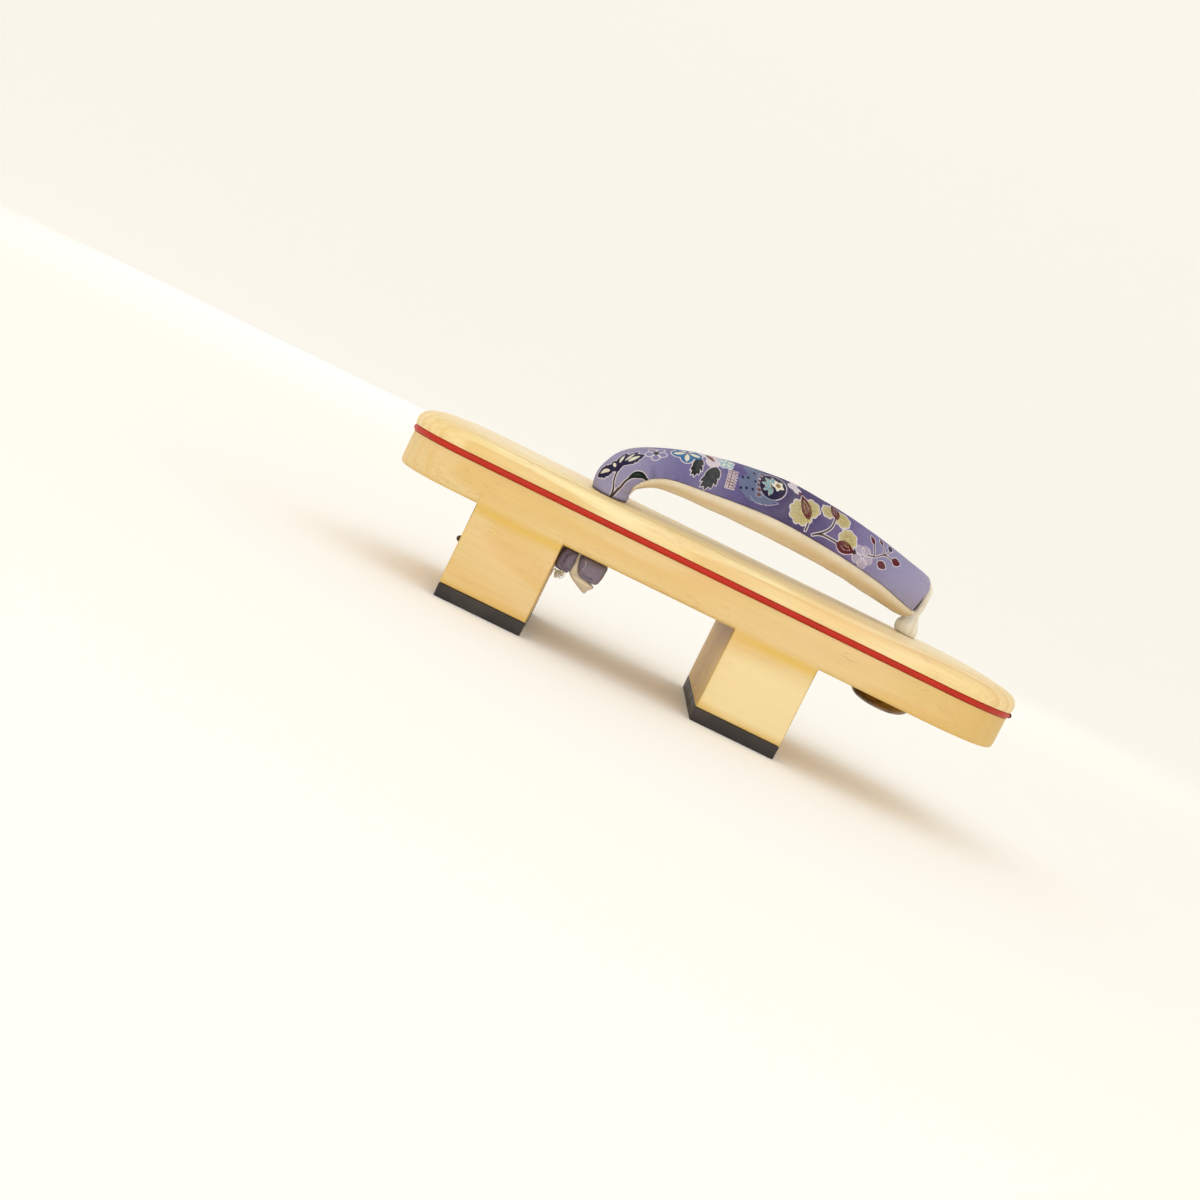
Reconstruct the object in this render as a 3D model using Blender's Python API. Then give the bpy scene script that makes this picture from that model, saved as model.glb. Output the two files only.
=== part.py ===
"""A woman's geta: a two-toothed wooden sandal carved from one block, with a padded thong strap.

The toe points along -Y, +Z is up and X runs across the sandal, whose two sides are alike.
The origin lies on the floor, under the middle of the footbed.
Sizes below are millimetres; every mesh is written in metres.
"""

import math

import bmesh
import bpy
import numpy as np
from mathutils import Vector

METRE = 0.001
GAP = 0.3

# Footbed, seen from above: a long rectangle with round corners, bowed sides and bowed ends.
LENGTH = 230.0
WIDTH = 80.0
SIDE_BOW = 0.6
TOE_BROADER = 0.4
TOE_BOW = 3.7
HEEL_BOW = 3.0
TOE_CORNER = 30.0
HEEL_CORNER = 24.0
CORNER_STEPS = 8
SIDE_STEPS = 4
END_STEPS = 2

# Footbed, seen in section, from the underside up: the inset is how far a level lies inside the plan.
UNDERSIDE = 34.1
CORD_HEIGHT = 47.2
CORD_RADIUS = 1.05
CORD_INSET = 0.35
CORD_SIDES = 8
GROOVE_RADIUS = CORD_RADIUS + GAP + 0.1
GROOVE_STEPS = 6
LOWER_WALL = [
    # (inset, height)
    (2.2, UNDERSIDE),
    (1.2, 34.4),
    (0.6, 35.2),
    (0.4, 37.0),
]
UPPER_EDGE = [
    # (inset, height)
    (-0.35, 49.8),
    (-0.35, 51.0),
    (0.25, 52.4),
    (1.4, 53.6),
    (3.2, 54.4),
    (6.0, 54.9),
    (10.0, 55.3),
    (15.0, 55.7),
    (22.0, 56.0),
]

# Teeth and their rubber tips.
TOOTH_SPANS = {
    # name: (toe-side face, heel-side face), along Y
    "front": (-44.2, -12.9),
    "heel": (50.7, 82.6),
}
TOOTH_HALF_WIDTH = 39.0
TOOTH_CORNER = 0.9
TOOTH_CORNER_STEPS = 2
RUBBER_THICKNESS = 4.84
RUBBER_SLOPE = 1.6
TOOTH_SIDE = [
    # (added half width, height): the side leans out into the footbed's wall at its top
    (-0.5, RUBBER_THICKNESS + GAP),
    (0.0, 5.9),
    (0.0, 31.0),
    (0.1, 33.0),
    (0.35, 34.8),
    (0.45, 36.4),
    (0.1, 39.0),
]

# Holes through the footbed: x of a rear hole is mirrored for the other one.
TOE_HOLE = (0.0, -72.2)
REAR_HOLE = (26.6, 44.2)
TOE_HOLE_RADIUS = 3.8
REAR_HOLE_RADIUS = 4.6
HOLE_SIDES = 20
HOLE_LEVELS = (UNDERSIDE - 5.0, UNDERSIDE + 28.0)

# Strap: one arm, from its rear hole to the tip of the V. x is mirrored for the other arm.
# The lining lies in the arm's underside, between two angles that run from the top outward.
ARM = [
    # (x, y, z, half height, half width, lean inward, lining from, lining to)
    (26.7, 43.9, 56.9, 6.4, 6.1, 0.0, 130.0, 215.0),
    (27.2, 44.1, 61.4, 7.1, 6.8, 6.0, 130.0, 215.0),
    (28.6, 40.6, 66.7, 7.3, 7.4, 12.0, 131.0, 222.0),
    (29.3, 31.5, 71.3, 7.3, 7.5, 15.0, 129.0, 229.0),
    (27.6, 17.0, 74.0, 8.8, 7.4, 17.0, 124.0, 234.0),
    (22.8, -8.0, 75.9, 10.6, 7.5, 18.0, 117.0, 239.0),
    (17.0, -34.0, 74.7, 10.2, 7.4, 17.0, 119.0, 238.0),
    (11.4, -52.0, 72.2, 9.6, 7.7, 18.0, 123.0, 234.0),
    (7.6, -64.8, 70.3, 8.9, 7.8, 20.0, 135.0, 226.0),
    (6.6, -69.2, 70.3, 7.4, 7.0, 20.0, 145.0, 218.0),
    (6.2, -71.4, 70.2, 4.8, 4.7, 20.0, 160.0, 210.0),
]
ARM_STEPS = 3
ARM_REACH = 0.02
CLOTH_SIDES = 13
LINING_SIDES = 7
LINING_FIRST = 2 * ARM_STEPS + 1
LINING_LAST = 8 * ARM_STEPS
LINING_THICKNESS = 0.9
RECESS_SLOPE = 4.0
LINING_CLEAR = 2.5
NECK_RADIUS = REAR_HOLE_RADIUS - GAP - 0.1

# Tip of the V: the padding that both arms share, and the white loop round it.
TIP_CENTRE = (-65.8, 70.2)
TIP_HALF_LENGTH = 5.4
TIP_HALF_HEIGHT = 7.0
TIP_SQUARENESS = 3.0
TIP_SECTIONS = [
    # (x, share of the full profile)
    (-6.0, 0.80),
    (-5.0, 1.0),
    (5.0, 1.0),
    (6.0, 0.80),
]
LOOP_WIDTH = 7.2
LOOP_THICKNESS = 1.6
LOOP_STEPS = 28
CHANNEL_DEPTH = 12.0
STEM_RADIUS = TOE_HOLE_RADIUS - GAP - 0.1
STEM = [
    # (centre y, z, half width, half length)
    (TOE_HOLE[1], 33.0, STEM_RADIUS, STEM_RADIUS),
    (TOE_HOLE[1], 55.9, STEM_RADIUS, STEM_RADIUS),
    (-71.6, 56.6, 4.6, 4.0),
    (-71.4, 58.6, 5.0, 4.3),
    (-70.9, 60.6, 4.3, 3.7),
    (-70.6, 62.0, 3.4, 2.9),
    (-70.6, 63.0, 2.6, 2.2),
]
STEM_SIDES = 16

# Strap ends under the footbed: two cloth rolls by each rear hole, and a tail of lining between.
ROLL_HALF_LENGTH = 6.8
ROLLS = {
    # name: (centre y, half size along Y, half height)
    "rear": (47.1, 3.3, 4.2),
    "front": (37.7, 4.0, 4.1),
}
ROLL_SECTIONS = [
    # (share along the roll, share of its full section)
    (-1.0, 0.55),
    (-0.8, 0.88),
    (-0.5, 1.0),
    (0.5, 1.0),
    (0.8, 0.88),
    (1.0, 0.55),
]
ROLL_SIDES = 14
ROLL_SQUARENESS = 2.6
TAIL = [
    # (centre y, z, half size along Y, half width across): it spreads out below the front roll
    (42.65, 33.8, 0.5, 3.6),
    (42.65, 29.0, 0.5, 4.0),
    (42.6, 25.6, 0.55, 4.0),
    (39.3, 24.3, 3.7, 3.4),
    (37.7, 21.6, 0.4, 0.7),
]

# Brass cover below the toe hole, and a tack in the back of the heel tooth.
COVER_CENTRE = (0.0, -74.2)
COVER_RADIUS = 11.5
COVER_HEIGHT = 5.6
COVER_WALL = 0.8
COVER_SQUARENESS = 2.5
COVER_TURNS = 32
COVER_RINGS = 5
COVER_TIP_RADIUS = 0.6
TACK_CENTRE = (-31.0, TOOTH_SPANS["heel"][1] + GAP, 20.3)
TACK_RADIUS = 1.1
TACK_HEIGHT = 1.4
TACK_SIDES = 12
TACK_SECTIONS = [
    # (share of the radius, share of the height)
    (1.0, 0.0),
    (0.85, 0.6),
    (0.4, 1.0),
]

FINISHES = {
    # name: (red, green, blue, roughness, metallic)
    "pale_wood": (0.80, 0.58, 0.30, 0.55, 0.0),
    "red_cord": (0.68, 0.03, 0.02, 0.30, 0.0),
    "black_rubber": (0.035, 0.032, 0.034, 0.70, 0.0),
    "violet_cloth": (0.26, 0.20, 0.42, 0.85, 0.0),
    "cream_cloth": (0.80, 0.72, 0.60, 0.90, 0.0),
    "white_cloth": (0.85, 0.81, 0.73, 0.90, 0.0),
    "old_brass": (0.30, 0.17, 0.05, 0.35, 1.0),
    "dark_steel": (0.08, 0.08, 0.08, 0.40, 1.0),
}
SMOOTH_BELOW = math.radians(35.0)


def clear_scene():
    """Remove whatever objects the open file holds."""
    for thing in list(bpy.data.objects):
        bpy.data.objects.remove(thing, do_unlink=True)


def finish(name):
    """Return the named material, made on first use."""
    found = bpy.data.materials.get(name)
    if found:
        return found
    red, green, blue, rough, metal = FINISHES[name]
    made = bpy.data.materials.new(name)
    made.use_nodes = True
    shader = made.node_tree.nodes["Principled BSDF"]
    shader.inputs["Base Color"].default_value = (red, green, blue, 1.0)
    shader.inputs["Roughness"].default_value = rough
    shader.inputs["Metallic"].default_value = metal
    made.diffuse_color = (red, green, blue, 1.0)
    return made


def solid(name, rings, finish_name, joined_ends=False):
    """Skin a row of equal rings of points into one closed body, closing its ends or joining them."""
    sides = len(rings[0])
    points = [Vector(point) * METRE for ring in rings for point in ring]
    faces = []
    for row in range(len(rings) if joined_ends else len(rings) - 1):
        here = row * sides
        after = (row + 1) % len(rings) * sides
        for side in range(sides):
            turn = (side + 1) % sides
            faces.append((here + side, here + turn, after + turn, after + side))
    if not joined_ends:
        faces.append(tuple(range(sides)))
        faces.append(tuple(range(len(points) - sides, len(points))))
    mesh = bpy.data.meshes.new(name)
    mesh.from_pydata(points, [], faces)
    shape = bmesh.new()
    shape.from_mesh(mesh)
    bmesh.ops.recalc_face_normals(shape, faces=shape.faces)
    shape.to_mesh(mesh)
    shape.free()
    mesh.materials.append(finish(finish_name))
    mesh.shade_smooth()
    mesh.set_sharp_from_angle(angle=SMOOTH_BELOW)
    made = bpy.data.objects.new(name, mesh)
    bpy.context.scene.collection.objects.link(made)
    return made


def combine(target, operation, tools):
    """Unite a solid with hidden helper solids, or cut it with them."""
    for tool in tools:
        step = target.modifiers.new(tool.name, "BOOLEAN")
        step.operation = operation
        step.solver = "EXACT"
        step.object = tool
        tool.hide_render = True
        tool.display_type = "WIRE"


def oval(centre_x, centre_y, half_x, half_y, height, sides):
    """Return a level oval ring."""
    ring = []
    for side in range(sides):
        turn = 2.0 * math.pi * side / sides
        ring.append((centre_x + half_x * math.cos(turn), centre_y + half_y * math.sin(turn), height))
    return ring


def rounded_power(turn, squareness):
    """Return a point of a unit curve between a circle (2) and a square (large), at an angle."""
    across = math.cos(turn)
    up = math.sin(turn)
    power = 2.0 / squareness
    return (math.copysign(abs(across) ** power, across), math.copysign(abs(up) ** power, up))


def half_width(y):
    """Return half the footbed's width at a place along it."""
    share = -y / (LENGTH / 2.0)
    return WIDTH / 2.0 - SIDE_BOW * share ** 2 + TOE_BROADER * share


def quarter_plan(end, bow, corner, inset):
    """Return the plan from the middle of one end, round its corner, to the middle of the +X side."""
    centre_x = half_width(end * (LENGTH / 2.0 - corner)) - corner
    centre_y = LENGTH / 2.0 - bow * (2.0 * centre_x / WIDTH) ** 2 - corner
    points = []
    for step in range(END_STEPS):
        x = centre_x * step / END_STEPS
        points.append((x, end * (LENGTH / 2.0 - bow * (2.0 * x / WIDTH) ** 2 - inset)))
    for step in range(CORNER_STEPS + 1):
        turn = math.pi / 2.0 * step / CORNER_STEPS
        reach = corner - inset
        points.append((centre_x + reach * math.sin(turn), end * (centre_y + reach * math.cos(turn))))
    for step in range(1, SIDE_STEPS + 1):
        y = end * centre_y * (1.0 - step / SIDE_STEPS)
        points.append((half_width(y) - inset, y))
    return points


def plan(inset, height):
    """Return the footbed's whole plan, moved inward by an inset, as a level ring."""
    toe = quarter_plan(-1.0, TOE_BOW, TOE_CORNER, inset)
    heel = quarter_plan(1.0, HEEL_BOW, HEEL_CORNER, inset)
    right = toe + heel[-2::-1]
    left = [(-x, y) for x, y in right[-2:0:-1]]
    return [(x, y, height) for x, y in right + left]


def top_height(x, y):
    """Return the height of the footbed's crowned top at a place away from its corners."""
    insets = [row[0] for row in UPPER_EDGE[1:]]
    heights = [row[1] for row in UPPER_EDGE[1:]]
    inset = min(half_width(y) - abs(x), LENGTH / 2.0 - abs(y))
    return float(np.interp(inset, insets, heights))


def groove():
    """Return the (inset, height) levels of the round groove that the edge cord lies in."""
    levels = []
    for step in range(GROOVE_STEPS + 1):
        turn = math.pi * (step / GROOVE_STEPS - 0.5)
        inset = CORD_INSET + GROOVE_RADIUS * math.cos(turn)
        levels.append((inset, CORD_HEIGHT + GROOVE_RADIUS * math.sin(turn)))
    return levels


def tooth(name, toe_face, heel_face):
    """Make one tooth, with eased upright corners and sides that lean out at the top."""
    rings = []
    for added, height in TOOTH_SIDE:
        rings.append(rounded_box(TOOTH_HALF_WIDTH + added, toe_face, heel_face, TOOTH_CORNER, height))
    return solid(name, rings, "pale_wood")


def rounded_box(half_x, near_y, far_y, corner, height):
    """Return a level rectangle with round corners."""
    ring = []
    corners = [(1.0, far_y, 1.0), (-1.0, far_y, 1.0), (-1.0, near_y, -1.0), (1.0, near_y, -1.0)]
    for index, (side_x, y, side_y) in enumerate(corners):
        for step in range(TOOTH_CORNER_STEPS + 1):
            turn = math.pi / 2.0 * (index + step / TOOTH_CORNER_STEPS)
            x = side_x * (half_x - corner) + corner * math.cos(turn)
            ring.append((x, y - side_y * corner + corner * math.sin(turn), height))
    return ring


def make_body():
    """Make the footbed with its groove, two teeth and three strap holes, in one piece of wood."""
    levels = LOWER_WALL + groove() + UPPER_EDGE
    body = solid("body", [plan(inset, height) for inset, height in levels], "pale_wood")
    teeth = [tooth(name + "_tooth", *span) for name, span in TOOTH_SPANS.items()]
    combine(body, "UNION", teeth)
    holes = []
    for name, (x, y), radius in (
        ("toe_hole", TOE_HOLE, TOE_HOLE_RADIUS),
        ("rear_hole_left", REAR_HOLE, REAR_HOLE_RADIUS),
        ("rear_hole_right", (-REAR_HOLE[0], REAR_HOLE[1]), REAR_HOLE_RADIUS),
    ):
        rings = [oval(x, y, radius, radius, height, HOLE_SIDES) for height in HOLE_LEVELS]
        holes.append(solid(name, rings, "pale_wood"))
    combine(body, "DIFFERENCE", holes)


def make_rubber_tips():
    """Make the rubber under each tooth, its two short ends sloping in towards the floor."""
    for name, (toe_face, heel_face) in TOOTH_SPANS.items():
        rings = []
        for added, height in ((-RUBBER_SLOPE, 0.0), (0.0, RUBBER_THICKNESS)):
            rings.append(rounded_box(TOOTH_HALF_WIDTH + added, toe_face, heel_face, GAP, height))
        solid("rubber_" + name, rings, "black_rubber")


def make_edge_cord():
    """Make the red cord round the footbed, lying in its groove."""
    rings = []
    for side in range(CORD_SIDES):
        turn = 2.0 * math.pi * side / CORD_SIDES
        inset = CORD_INSET + CORD_RADIUS * math.cos(turn)
        rings.append(plan(inset, CORD_HEIGHT + CORD_RADIUS * math.sin(turn)))
    solid("edge_cord", rings, "red_cord", joined_ends=True)


def arm_row(place):
    """Return the arm's table at a place between its rows, on a smooth curve through them."""
    first = min(int(place), len(ARM) - 2)
    share = place - first
    before, start, after, beyond = (
        np.array(ARM[min(max(first + offset, 0), len(ARM) - 1)]) for offset in (-1, 0, 1, 2)
    )
    leave = (after - before) / 2.0
    arrive = (beyond - start) / 2.0
    cubic = 2.0 * (start - after) + leave + arrive
    square = 3.0 * (after - start) - 2.0 * leave - arrive
    return ((cubic * share + square) * share + leave) * share + start


def arm_frame(place):
    """Return an arm section's centre, its tall and wide axes, its half sizes and lining angles."""
    x, y, z, tall, wide, lean, line_from, line_to = arm_row(place)
    ahead = arm_row(min(place + ARM_REACH, len(ARM) - 1.0))[:3]
    behind = arm_row(max(place - ARM_REACH, 0.0))[:3]
    along = Vector(ahead - behind).normalized()
    if place == 0.0:
        along = Vector((0.0, 0.0, 1.0))
    outward = Vector((1.0, 0.0, 0.0))
    outward = (outward - along * outward.dot(along)).normalized()
    upward = along.cross(outward)
    tilt = math.radians(lean)
    tall_axis = upward * math.cos(tilt) - outward * math.sin(tilt)
    wide_axis = upward * math.sin(tilt) + outward * math.cos(tilt)
    return Vector((x, y, z)), tall_axis, wide_axis, tall, wide, line_from, line_to


def arm_arc(place, mirror, depth, start, finish_at, count):
    """Return points of an arm's section, sunk by a depth, from one angle to another in degrees."""
    centre, tall_axis, wide_axis, tall, wide, _, _ = arm_frame(place)
    points = []
    for step in range(count + 1):
        turn = math.radians(start + (finish_at - start) * step / count)
        upward = tall_axis * (tall - depth) * math.cos(turn)
        outward = wide_axis * (wide - depth) * math.sin(turn)
        point = centre + upward + outward
        points.append((mirror * point.x, point.y, point.z))
    return points


def arm_ring(station, mirror):
    """Return one whole section of an arm, sunk along its underside where the lining lies."""
    place = station / ARM_STEPS
    line_from, line_to = arm_frame(place)[5:]
    sunk = LINING_THICKNESS + GAP if LINING_FIRST <= station <= LINING_LAST else 0.0
    cover = arm_arc(place, mirror, 0.0, line_to - 360.0, line_from, CLOTH_SIDES)
    start = line_from + RECESS_SLOPE
    end = line_to - RECESS_SLOPE
    return cover + arm_arc(place, mirror, sunk, start, end, LINING_SIDES)


def make_arm(name, mirror):
    """Make one padded arm, with the neck that runs down through its rear hole."""
    foot = arm_ring(0, mirror)
    foot = [(x, y, top_height(x, y) + GAP) for x, y, _ in foot]
    hole_x = mirror * REAR_HOLE[0]
    neck = []
    for x, y, _ in foot:
        away = Vector((x - hole_x, y - REAR_HOLE[1])).normalized() * NECK_RADIUS
        neck.append((hole_x + away.x, REAR_HOLE[1] + away.y))
    rings = [
        [(x, y, UNDERSIDE) for x, y in neck],
        [(x, y, top_height(x, y) + GAP) for x, y in neck],
        foot,
    ]
    last = ARM_STEPS * (len(ARM) - 1)
    rings += [arm_ring(station, mirror) for station in range(1, last + 1)]
    return solid(name, rings, "violet_cloth")


def tip_profile(grow, x, share=1.0):
    """Return the tip's profile, grown outward by an amount, as an upright ring at one x."""
    ring = []
    for step in range(LOOP_STEPS):
        across, up = rounded_power(2.0 * math.pi * step / LOOP_STEPS, TIP_SQUARENESS)
        y = TIP_CENTRE[0] + across * (TIP_HALF_LENGTH * share + grow)
        ring.append((x, y, TIP_CENTRE[1] + up * (TIP_HALF_HEIGHT * share + grow)))
    return ring


def tip_band(name, inner, outer, width, finish_name):
    """Make a band of square section that runs once round the tip's profile."""
    corners = [(inner, -width / 2.0), (outer, -width / 2.0), (outer, width / 2.0), (inner, width / 2.0)]
    return solid(name, [tip_profile(grow, x) for grow, x in corners], finish_name, joined_ends=True)


def make_strap():
    """Make the V of the strap: two padded arms that meet at the tip, cut where the loop lies."""
    strap = make_arm("strap", 1.0)
    other = make_arm("other_arm", -1.0)
    tip = solid("tip", [tip_profile(0.0, x, share) for x, share in TIP_SECTIONS], "violet_cloth")
    combine(strap, "UNION", [other, tip])
    channel = tip_band("channel", -GAP, CHANNEL_DEPTH, LOOP_WIDTH + 2.0 * GAP, "violet_cloth")
    combine(strap, "DIFFERENCE", [channel])


def make_lining(name, mirror):
    """Make the thin lining that lies in the underside of one arm."""
    rings = []
    for station in range(LINING_FIRST, LINING_LAST + 1):
        place = station / ARM_STEPS
        line_from, line_to = arm_frame(place)[5:]
        start = line_from + LINING_CLEAR
        end = line_to - LINING_CLEAR
        outside = arm_arc(place, mirror, 0.0, start, end, LINING_SIDES)
        inside = arm_arc(
            place, mirror, LINING_THICKNESS, end - RECESS_SLOPE, start + RECESS_SLOPE, LINING_SIDES
        )
        rings.append(outside + inside)
    solid(name, rings, "cream_cloth")


def make_front_loop():
    """Make the white loop round the tip, with the stem that runs down through the toe hole."""
    loop = tip_band("front_loop", 0.0, LOOP_THICKNESS, LOOP_WIDTH, "white_cloth")
    rings = [oval(TOE_HOLE[0], y, wide, long, z, STEM_SIDES) for y, z, wide, long in STEM]
    combine(loop, "UNION", [solid("stem", rings, "white_cloth")])


def make_strap_ends(side, mirror):
    """Make the cloth rolls and the tail of lining below one rear hole."""
    hole_x = mirror * REAR_HOLE[0]
    for name, (centre_y, half_long, half_height) in ROLLS.items():
        rings = []
        centre_z = UNDERSIDE - GAP - half_height
        for share_along, share in ROLL_SECTIONS:
            x = hole_x + share_along * ROLL_HALF_LENGTH
            ring = []
            for step in range(ROLL_SIDES):
                across, up = rounded_power(2.0 * math.pi * step / ROLL_SIDES, ROLL_SQUARENESS)
                y = centre_y + across * half_long * share
                ring.append((x, y, centre_z + up * half_height * share))
            rings.append(ring)
        solid("roll_" + name + "_" + side, rings, "violet_cloth")
    rings = []
    for y, z, long, wide in TAIL:
        corners = [(-wide, -long), (wide, -long), (wide, long), (-wide, long)]
        rings.append([(hole_x + x, y + along, z) for x, along in corners])
    solid("tail_" + side, rings, "cream_cloth")


def make_toe_cover():
    """Make the pressed brass cover over the loop's end, hollow and open against the wood."""
    x, y = COVER_CENTRE
    rings = []
    for inset in (0.0, COVER_WALL):
        wall = []
        for step in range(COVER_RINGS + 1):
            across, down = rounded_power(math.pi / 2.0 * step / COVER_RINGS, COVER_SQUARENESS)
            radius = max((COVER_RADIUS - inset) * across, COVER_TIP_RADIUS)
            height = UNDERSIDE - GAP - (COVER_HEIGHT - inset) * down
            wall.append(oval(x, y, radius, radius, height, COVER_TURNS))
        rings += wall if inset else wall[::-1]
    solid("toe_cover", rings, "old_brass")


def make_heel_tack():
    """Make the low head of the tack in the back of the heel tooth."""
    x, y, z = TACK_CENTRE
    rings = []
    for share, out in TACK_SECTIONS:
        radius = TACK_RADIUS * share
        circle = oval(0.0, 0.0, radius, radius, y + TACK_HEIGHT * out, TACK_SIDES)
        rings.append([(x + across, depth, z + up) for across, up, depth in circle])
    solid("heel_tack", rings, "dark_steel")


clear_scene()
make_body()
make_rubber_tips()
make_edge_cord()
make_strap()
make_front_loop()
for side_name, side_sign in (("left", 1.0), ("right", -1.0)):
    make_lining("lining_" + side_name, side_sign)
    make_strap_ends(side_name, side_sign)
make_toe_cover()
make_heel_tack()
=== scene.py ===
"""Dressing of the geta: grained wood, printed padded strap, red cord, rubber, brass and loose threads.

The toe points along -Y, +Z is up and X runs across the sandal. Sizes and tables are in millimetres,
unless they are said to be in metres, and angles in tables are in degrees.
"""
import math

import bmesh
import bpy
import numpy as np
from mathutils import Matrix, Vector


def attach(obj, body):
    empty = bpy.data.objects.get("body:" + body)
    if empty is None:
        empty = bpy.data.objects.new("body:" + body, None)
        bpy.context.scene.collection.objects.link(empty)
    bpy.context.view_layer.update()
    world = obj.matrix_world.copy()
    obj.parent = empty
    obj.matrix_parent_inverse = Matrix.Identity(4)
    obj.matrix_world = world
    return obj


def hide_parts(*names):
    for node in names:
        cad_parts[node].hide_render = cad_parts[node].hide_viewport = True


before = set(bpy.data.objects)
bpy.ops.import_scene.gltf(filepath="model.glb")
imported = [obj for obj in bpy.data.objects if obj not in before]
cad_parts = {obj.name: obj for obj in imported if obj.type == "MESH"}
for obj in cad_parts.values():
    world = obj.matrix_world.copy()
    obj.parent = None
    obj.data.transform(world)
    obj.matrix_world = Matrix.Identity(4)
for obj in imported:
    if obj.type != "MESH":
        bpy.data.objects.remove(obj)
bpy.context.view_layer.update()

METRE = 0.001
MAP_SCALE = 0.01

# Footbed: plan, and section from the underside up. An inset is how far a level lies inside the plan.
LENGTH = 230.0
WIDTH = 80.0
SIDE_BOW = 0.6
TOE_BROADER = 0.4
TOE_BOW = 3.7
HEEL_BOW = 3.0
TOE_CORNER = 30.0
HEEL_CORNER = 24.0
UNDERSIDE = 34.1
CORD_HEIGHT = 47.2
CORD_RADIUS = 1.1
CORD_INSET = 0.75
GROOVE_RADIUS = 1.14
GROOVE_INSET = CORD_INSET + 0.06
LOWER_WALL = [
    # (inset, height)
    (6.0, 34.1),
    (2.6, 34.1),
    (1.7, 34.2),
    (1.0, 34.6),
    (0.6, 35.3),
    (0.45, 36.2),
    (0.4, 37.4),
]
UPPER_EDGE = [
    # (inset, height)
    (-0.35, 49.4),
    (-0.35, 51.0),
    (0.25, 52.4),
    (1.4, 53.6),
    (3.2, 54.4),
    (6.0, 54.9),
    (10.0, 55.3),
    (15.0, 55.7),
    (22.0, 56.0),
]

# Teeth and their rubber tips.
TOOTH_SPANS = {
    # name: (toe-side face, heel-side face), along Y
    "front": (-44.2, -12.9),
    "heel": (50.7, 82.6),
}
TOOTH_HALF_WIDTH = 39.0
TOOTH_CORNER = 0.9
TOOTH_SIDE = [
    # (added half width, height): the side leans out into the footbed's wall at its top
    (-0.5, 5.1),
    (-0.08, 5.5),
    (0.0, 6.2),
    (0.0, 30.0),
    (0.06, 32.0),
    (0.18, 33.6),
    (0.34, 34.8),
    (0.45, 36.4),
    (0.1, 39.0),
]
RUBBER_THICKNESS = 4.84
RUBBER_SLOPE = 1.6
RUBBER_EASE = 0.22
RUBBER_CORNER = 0.45

# Holes through the footbed.
TOE_HOLE = (0.0, -72.2, 3.8)
REAR_HOLE = (26.6, 44.2, 4.6)

# Strap: one arm, from its rear hole to the tip of the V. x is mirrored for the other arm.
ARM = [
    # (x, y, z, half height, half width, then in degrees: lean inward, lining from, lining to)
    (26.7, 44.4, 56.9, 6.6, 6.1, 0.0, 160.0, 215.0),
    (27.2, 44.1, 61.4, 7.1, 6.8, 6.0, 160.0, 215.0),
    (28.6, 40.6, 66.7, 6.95, 7.4, 12.0, 152.0, 222.0),
    (29.3, 31.5, 71.2, 6.9, 7.5, 15.0, 129.0, 229.0),
    (27.6, 17.0, 74.0, 8.8, 7.4, 17.0, 124.0, 234.0),
    (22.8, -8.0, 75.9, 10.6, 7.5, 18.0, 117.0, 239.0),
    (17.0, -34.0, 74.7, 10.2, 7.4, 17.0, 119.0, 238.0),
    (11.4, -52.0, 72.2, 9.6, 7.7, 18.0, 123.0, 234.0),
    (7.6, -64.8, 70.3, 8.9, 7.8, 20.0, 139.0, 224.0),
    (6.6, -69.2, 70.2, 7.9, 7.0, 20.0, 155.0, 214.0),
    (6.2, -71.4, 70.0, 5.7, 4.9, 20.0, 168.0, 206.0),
]
LINING_STARTS = 1.2
LINING_ENDS = 124.4
LINING_THICKNESS = 0.9
RECESS = 1.6


def catmull(rows, place):
    """Return a table's values at a place between its rows, on a smooth curve through them."""
    rows = np.asarray(rows, float)
    last = len(rows) - 1
    first = min(int(place), last - 1)
    share = place - first
    before, start, after, beyond = (rows[min(max(first + step, 0), last)] for step in (-1, 0, 1, 2))
    leave = (after - before) / 2.0
    arrive = (beyond - start) / 2.0
    cubic = 2.0 * (start - after) + leave + arrive
    square = 3.0 * (after - start) - 2.0 * leave - arrive
    return ((cubic * share + square) * share + leave) * share + start


def smooth_rows(rows, steps):
    """Return a table with more rows, on a smooth curve through its own."""
    places = np.linspace(0.0, len(rows) - 1, (len(rows) - 1) * steps + 1)
    return [tuple(catmull(rows, place)) for place in places]


def turns(count):
    """Return evenly spaced angles of a whole turn, in radians."""
    return [2.0 * math.pi * step / count for step in range(count)]


def level_circle(x, y, radius, height, sides):
    """Return a level ring of points."""
    return [(x + radius * math.cos(turn), y + radius * math.sin(turn), height) for turn in turns(sides)]


def piece(name, points, faces, material):
    """Make a smooth mesh object from millimetre points, with its normals outward."""
    mesh = bpy.data.meshes.new(name)
    mesh.from_pydata((np.asarray(points, float) * METRE).tolist(), [], faces)
    shape = bmesh.new()
    shape.from_mesh(mesh)
    bmesh.ops.recalc_face_normals(shape, faces=shape.faces)
    shape.to_mesh(mesh)
    shape.free()
    mesh.materials.append(material)
    mesh.shade_smooth()
    made = bpy.data.objects.new(name, mesh)
    bpy.context.scene.collection.objects.link(made)
    return made


def ring_faces(rows, sides, closed_start=True, closed_end=True, joined_ends=False):
    """Return the faces that skin a row of equal rings."""
    faces = []
    for row in range(rows if joined_ends else rows - 1):
        here = row * sides
        after = (row + 1) % rows * sides
        for side in range(sides):
            turn = (side + 1) % sides
            faces.append((here + side, here + turn, after + turn, after + side))
    if closed_start and not joined_ends:
        faces.append(tuple(range(sides)))
    if closed_end and not joined_ends:
        faces.append(tuple(range((rows - 1) * sides, rows * sides)))
    return faces


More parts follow.
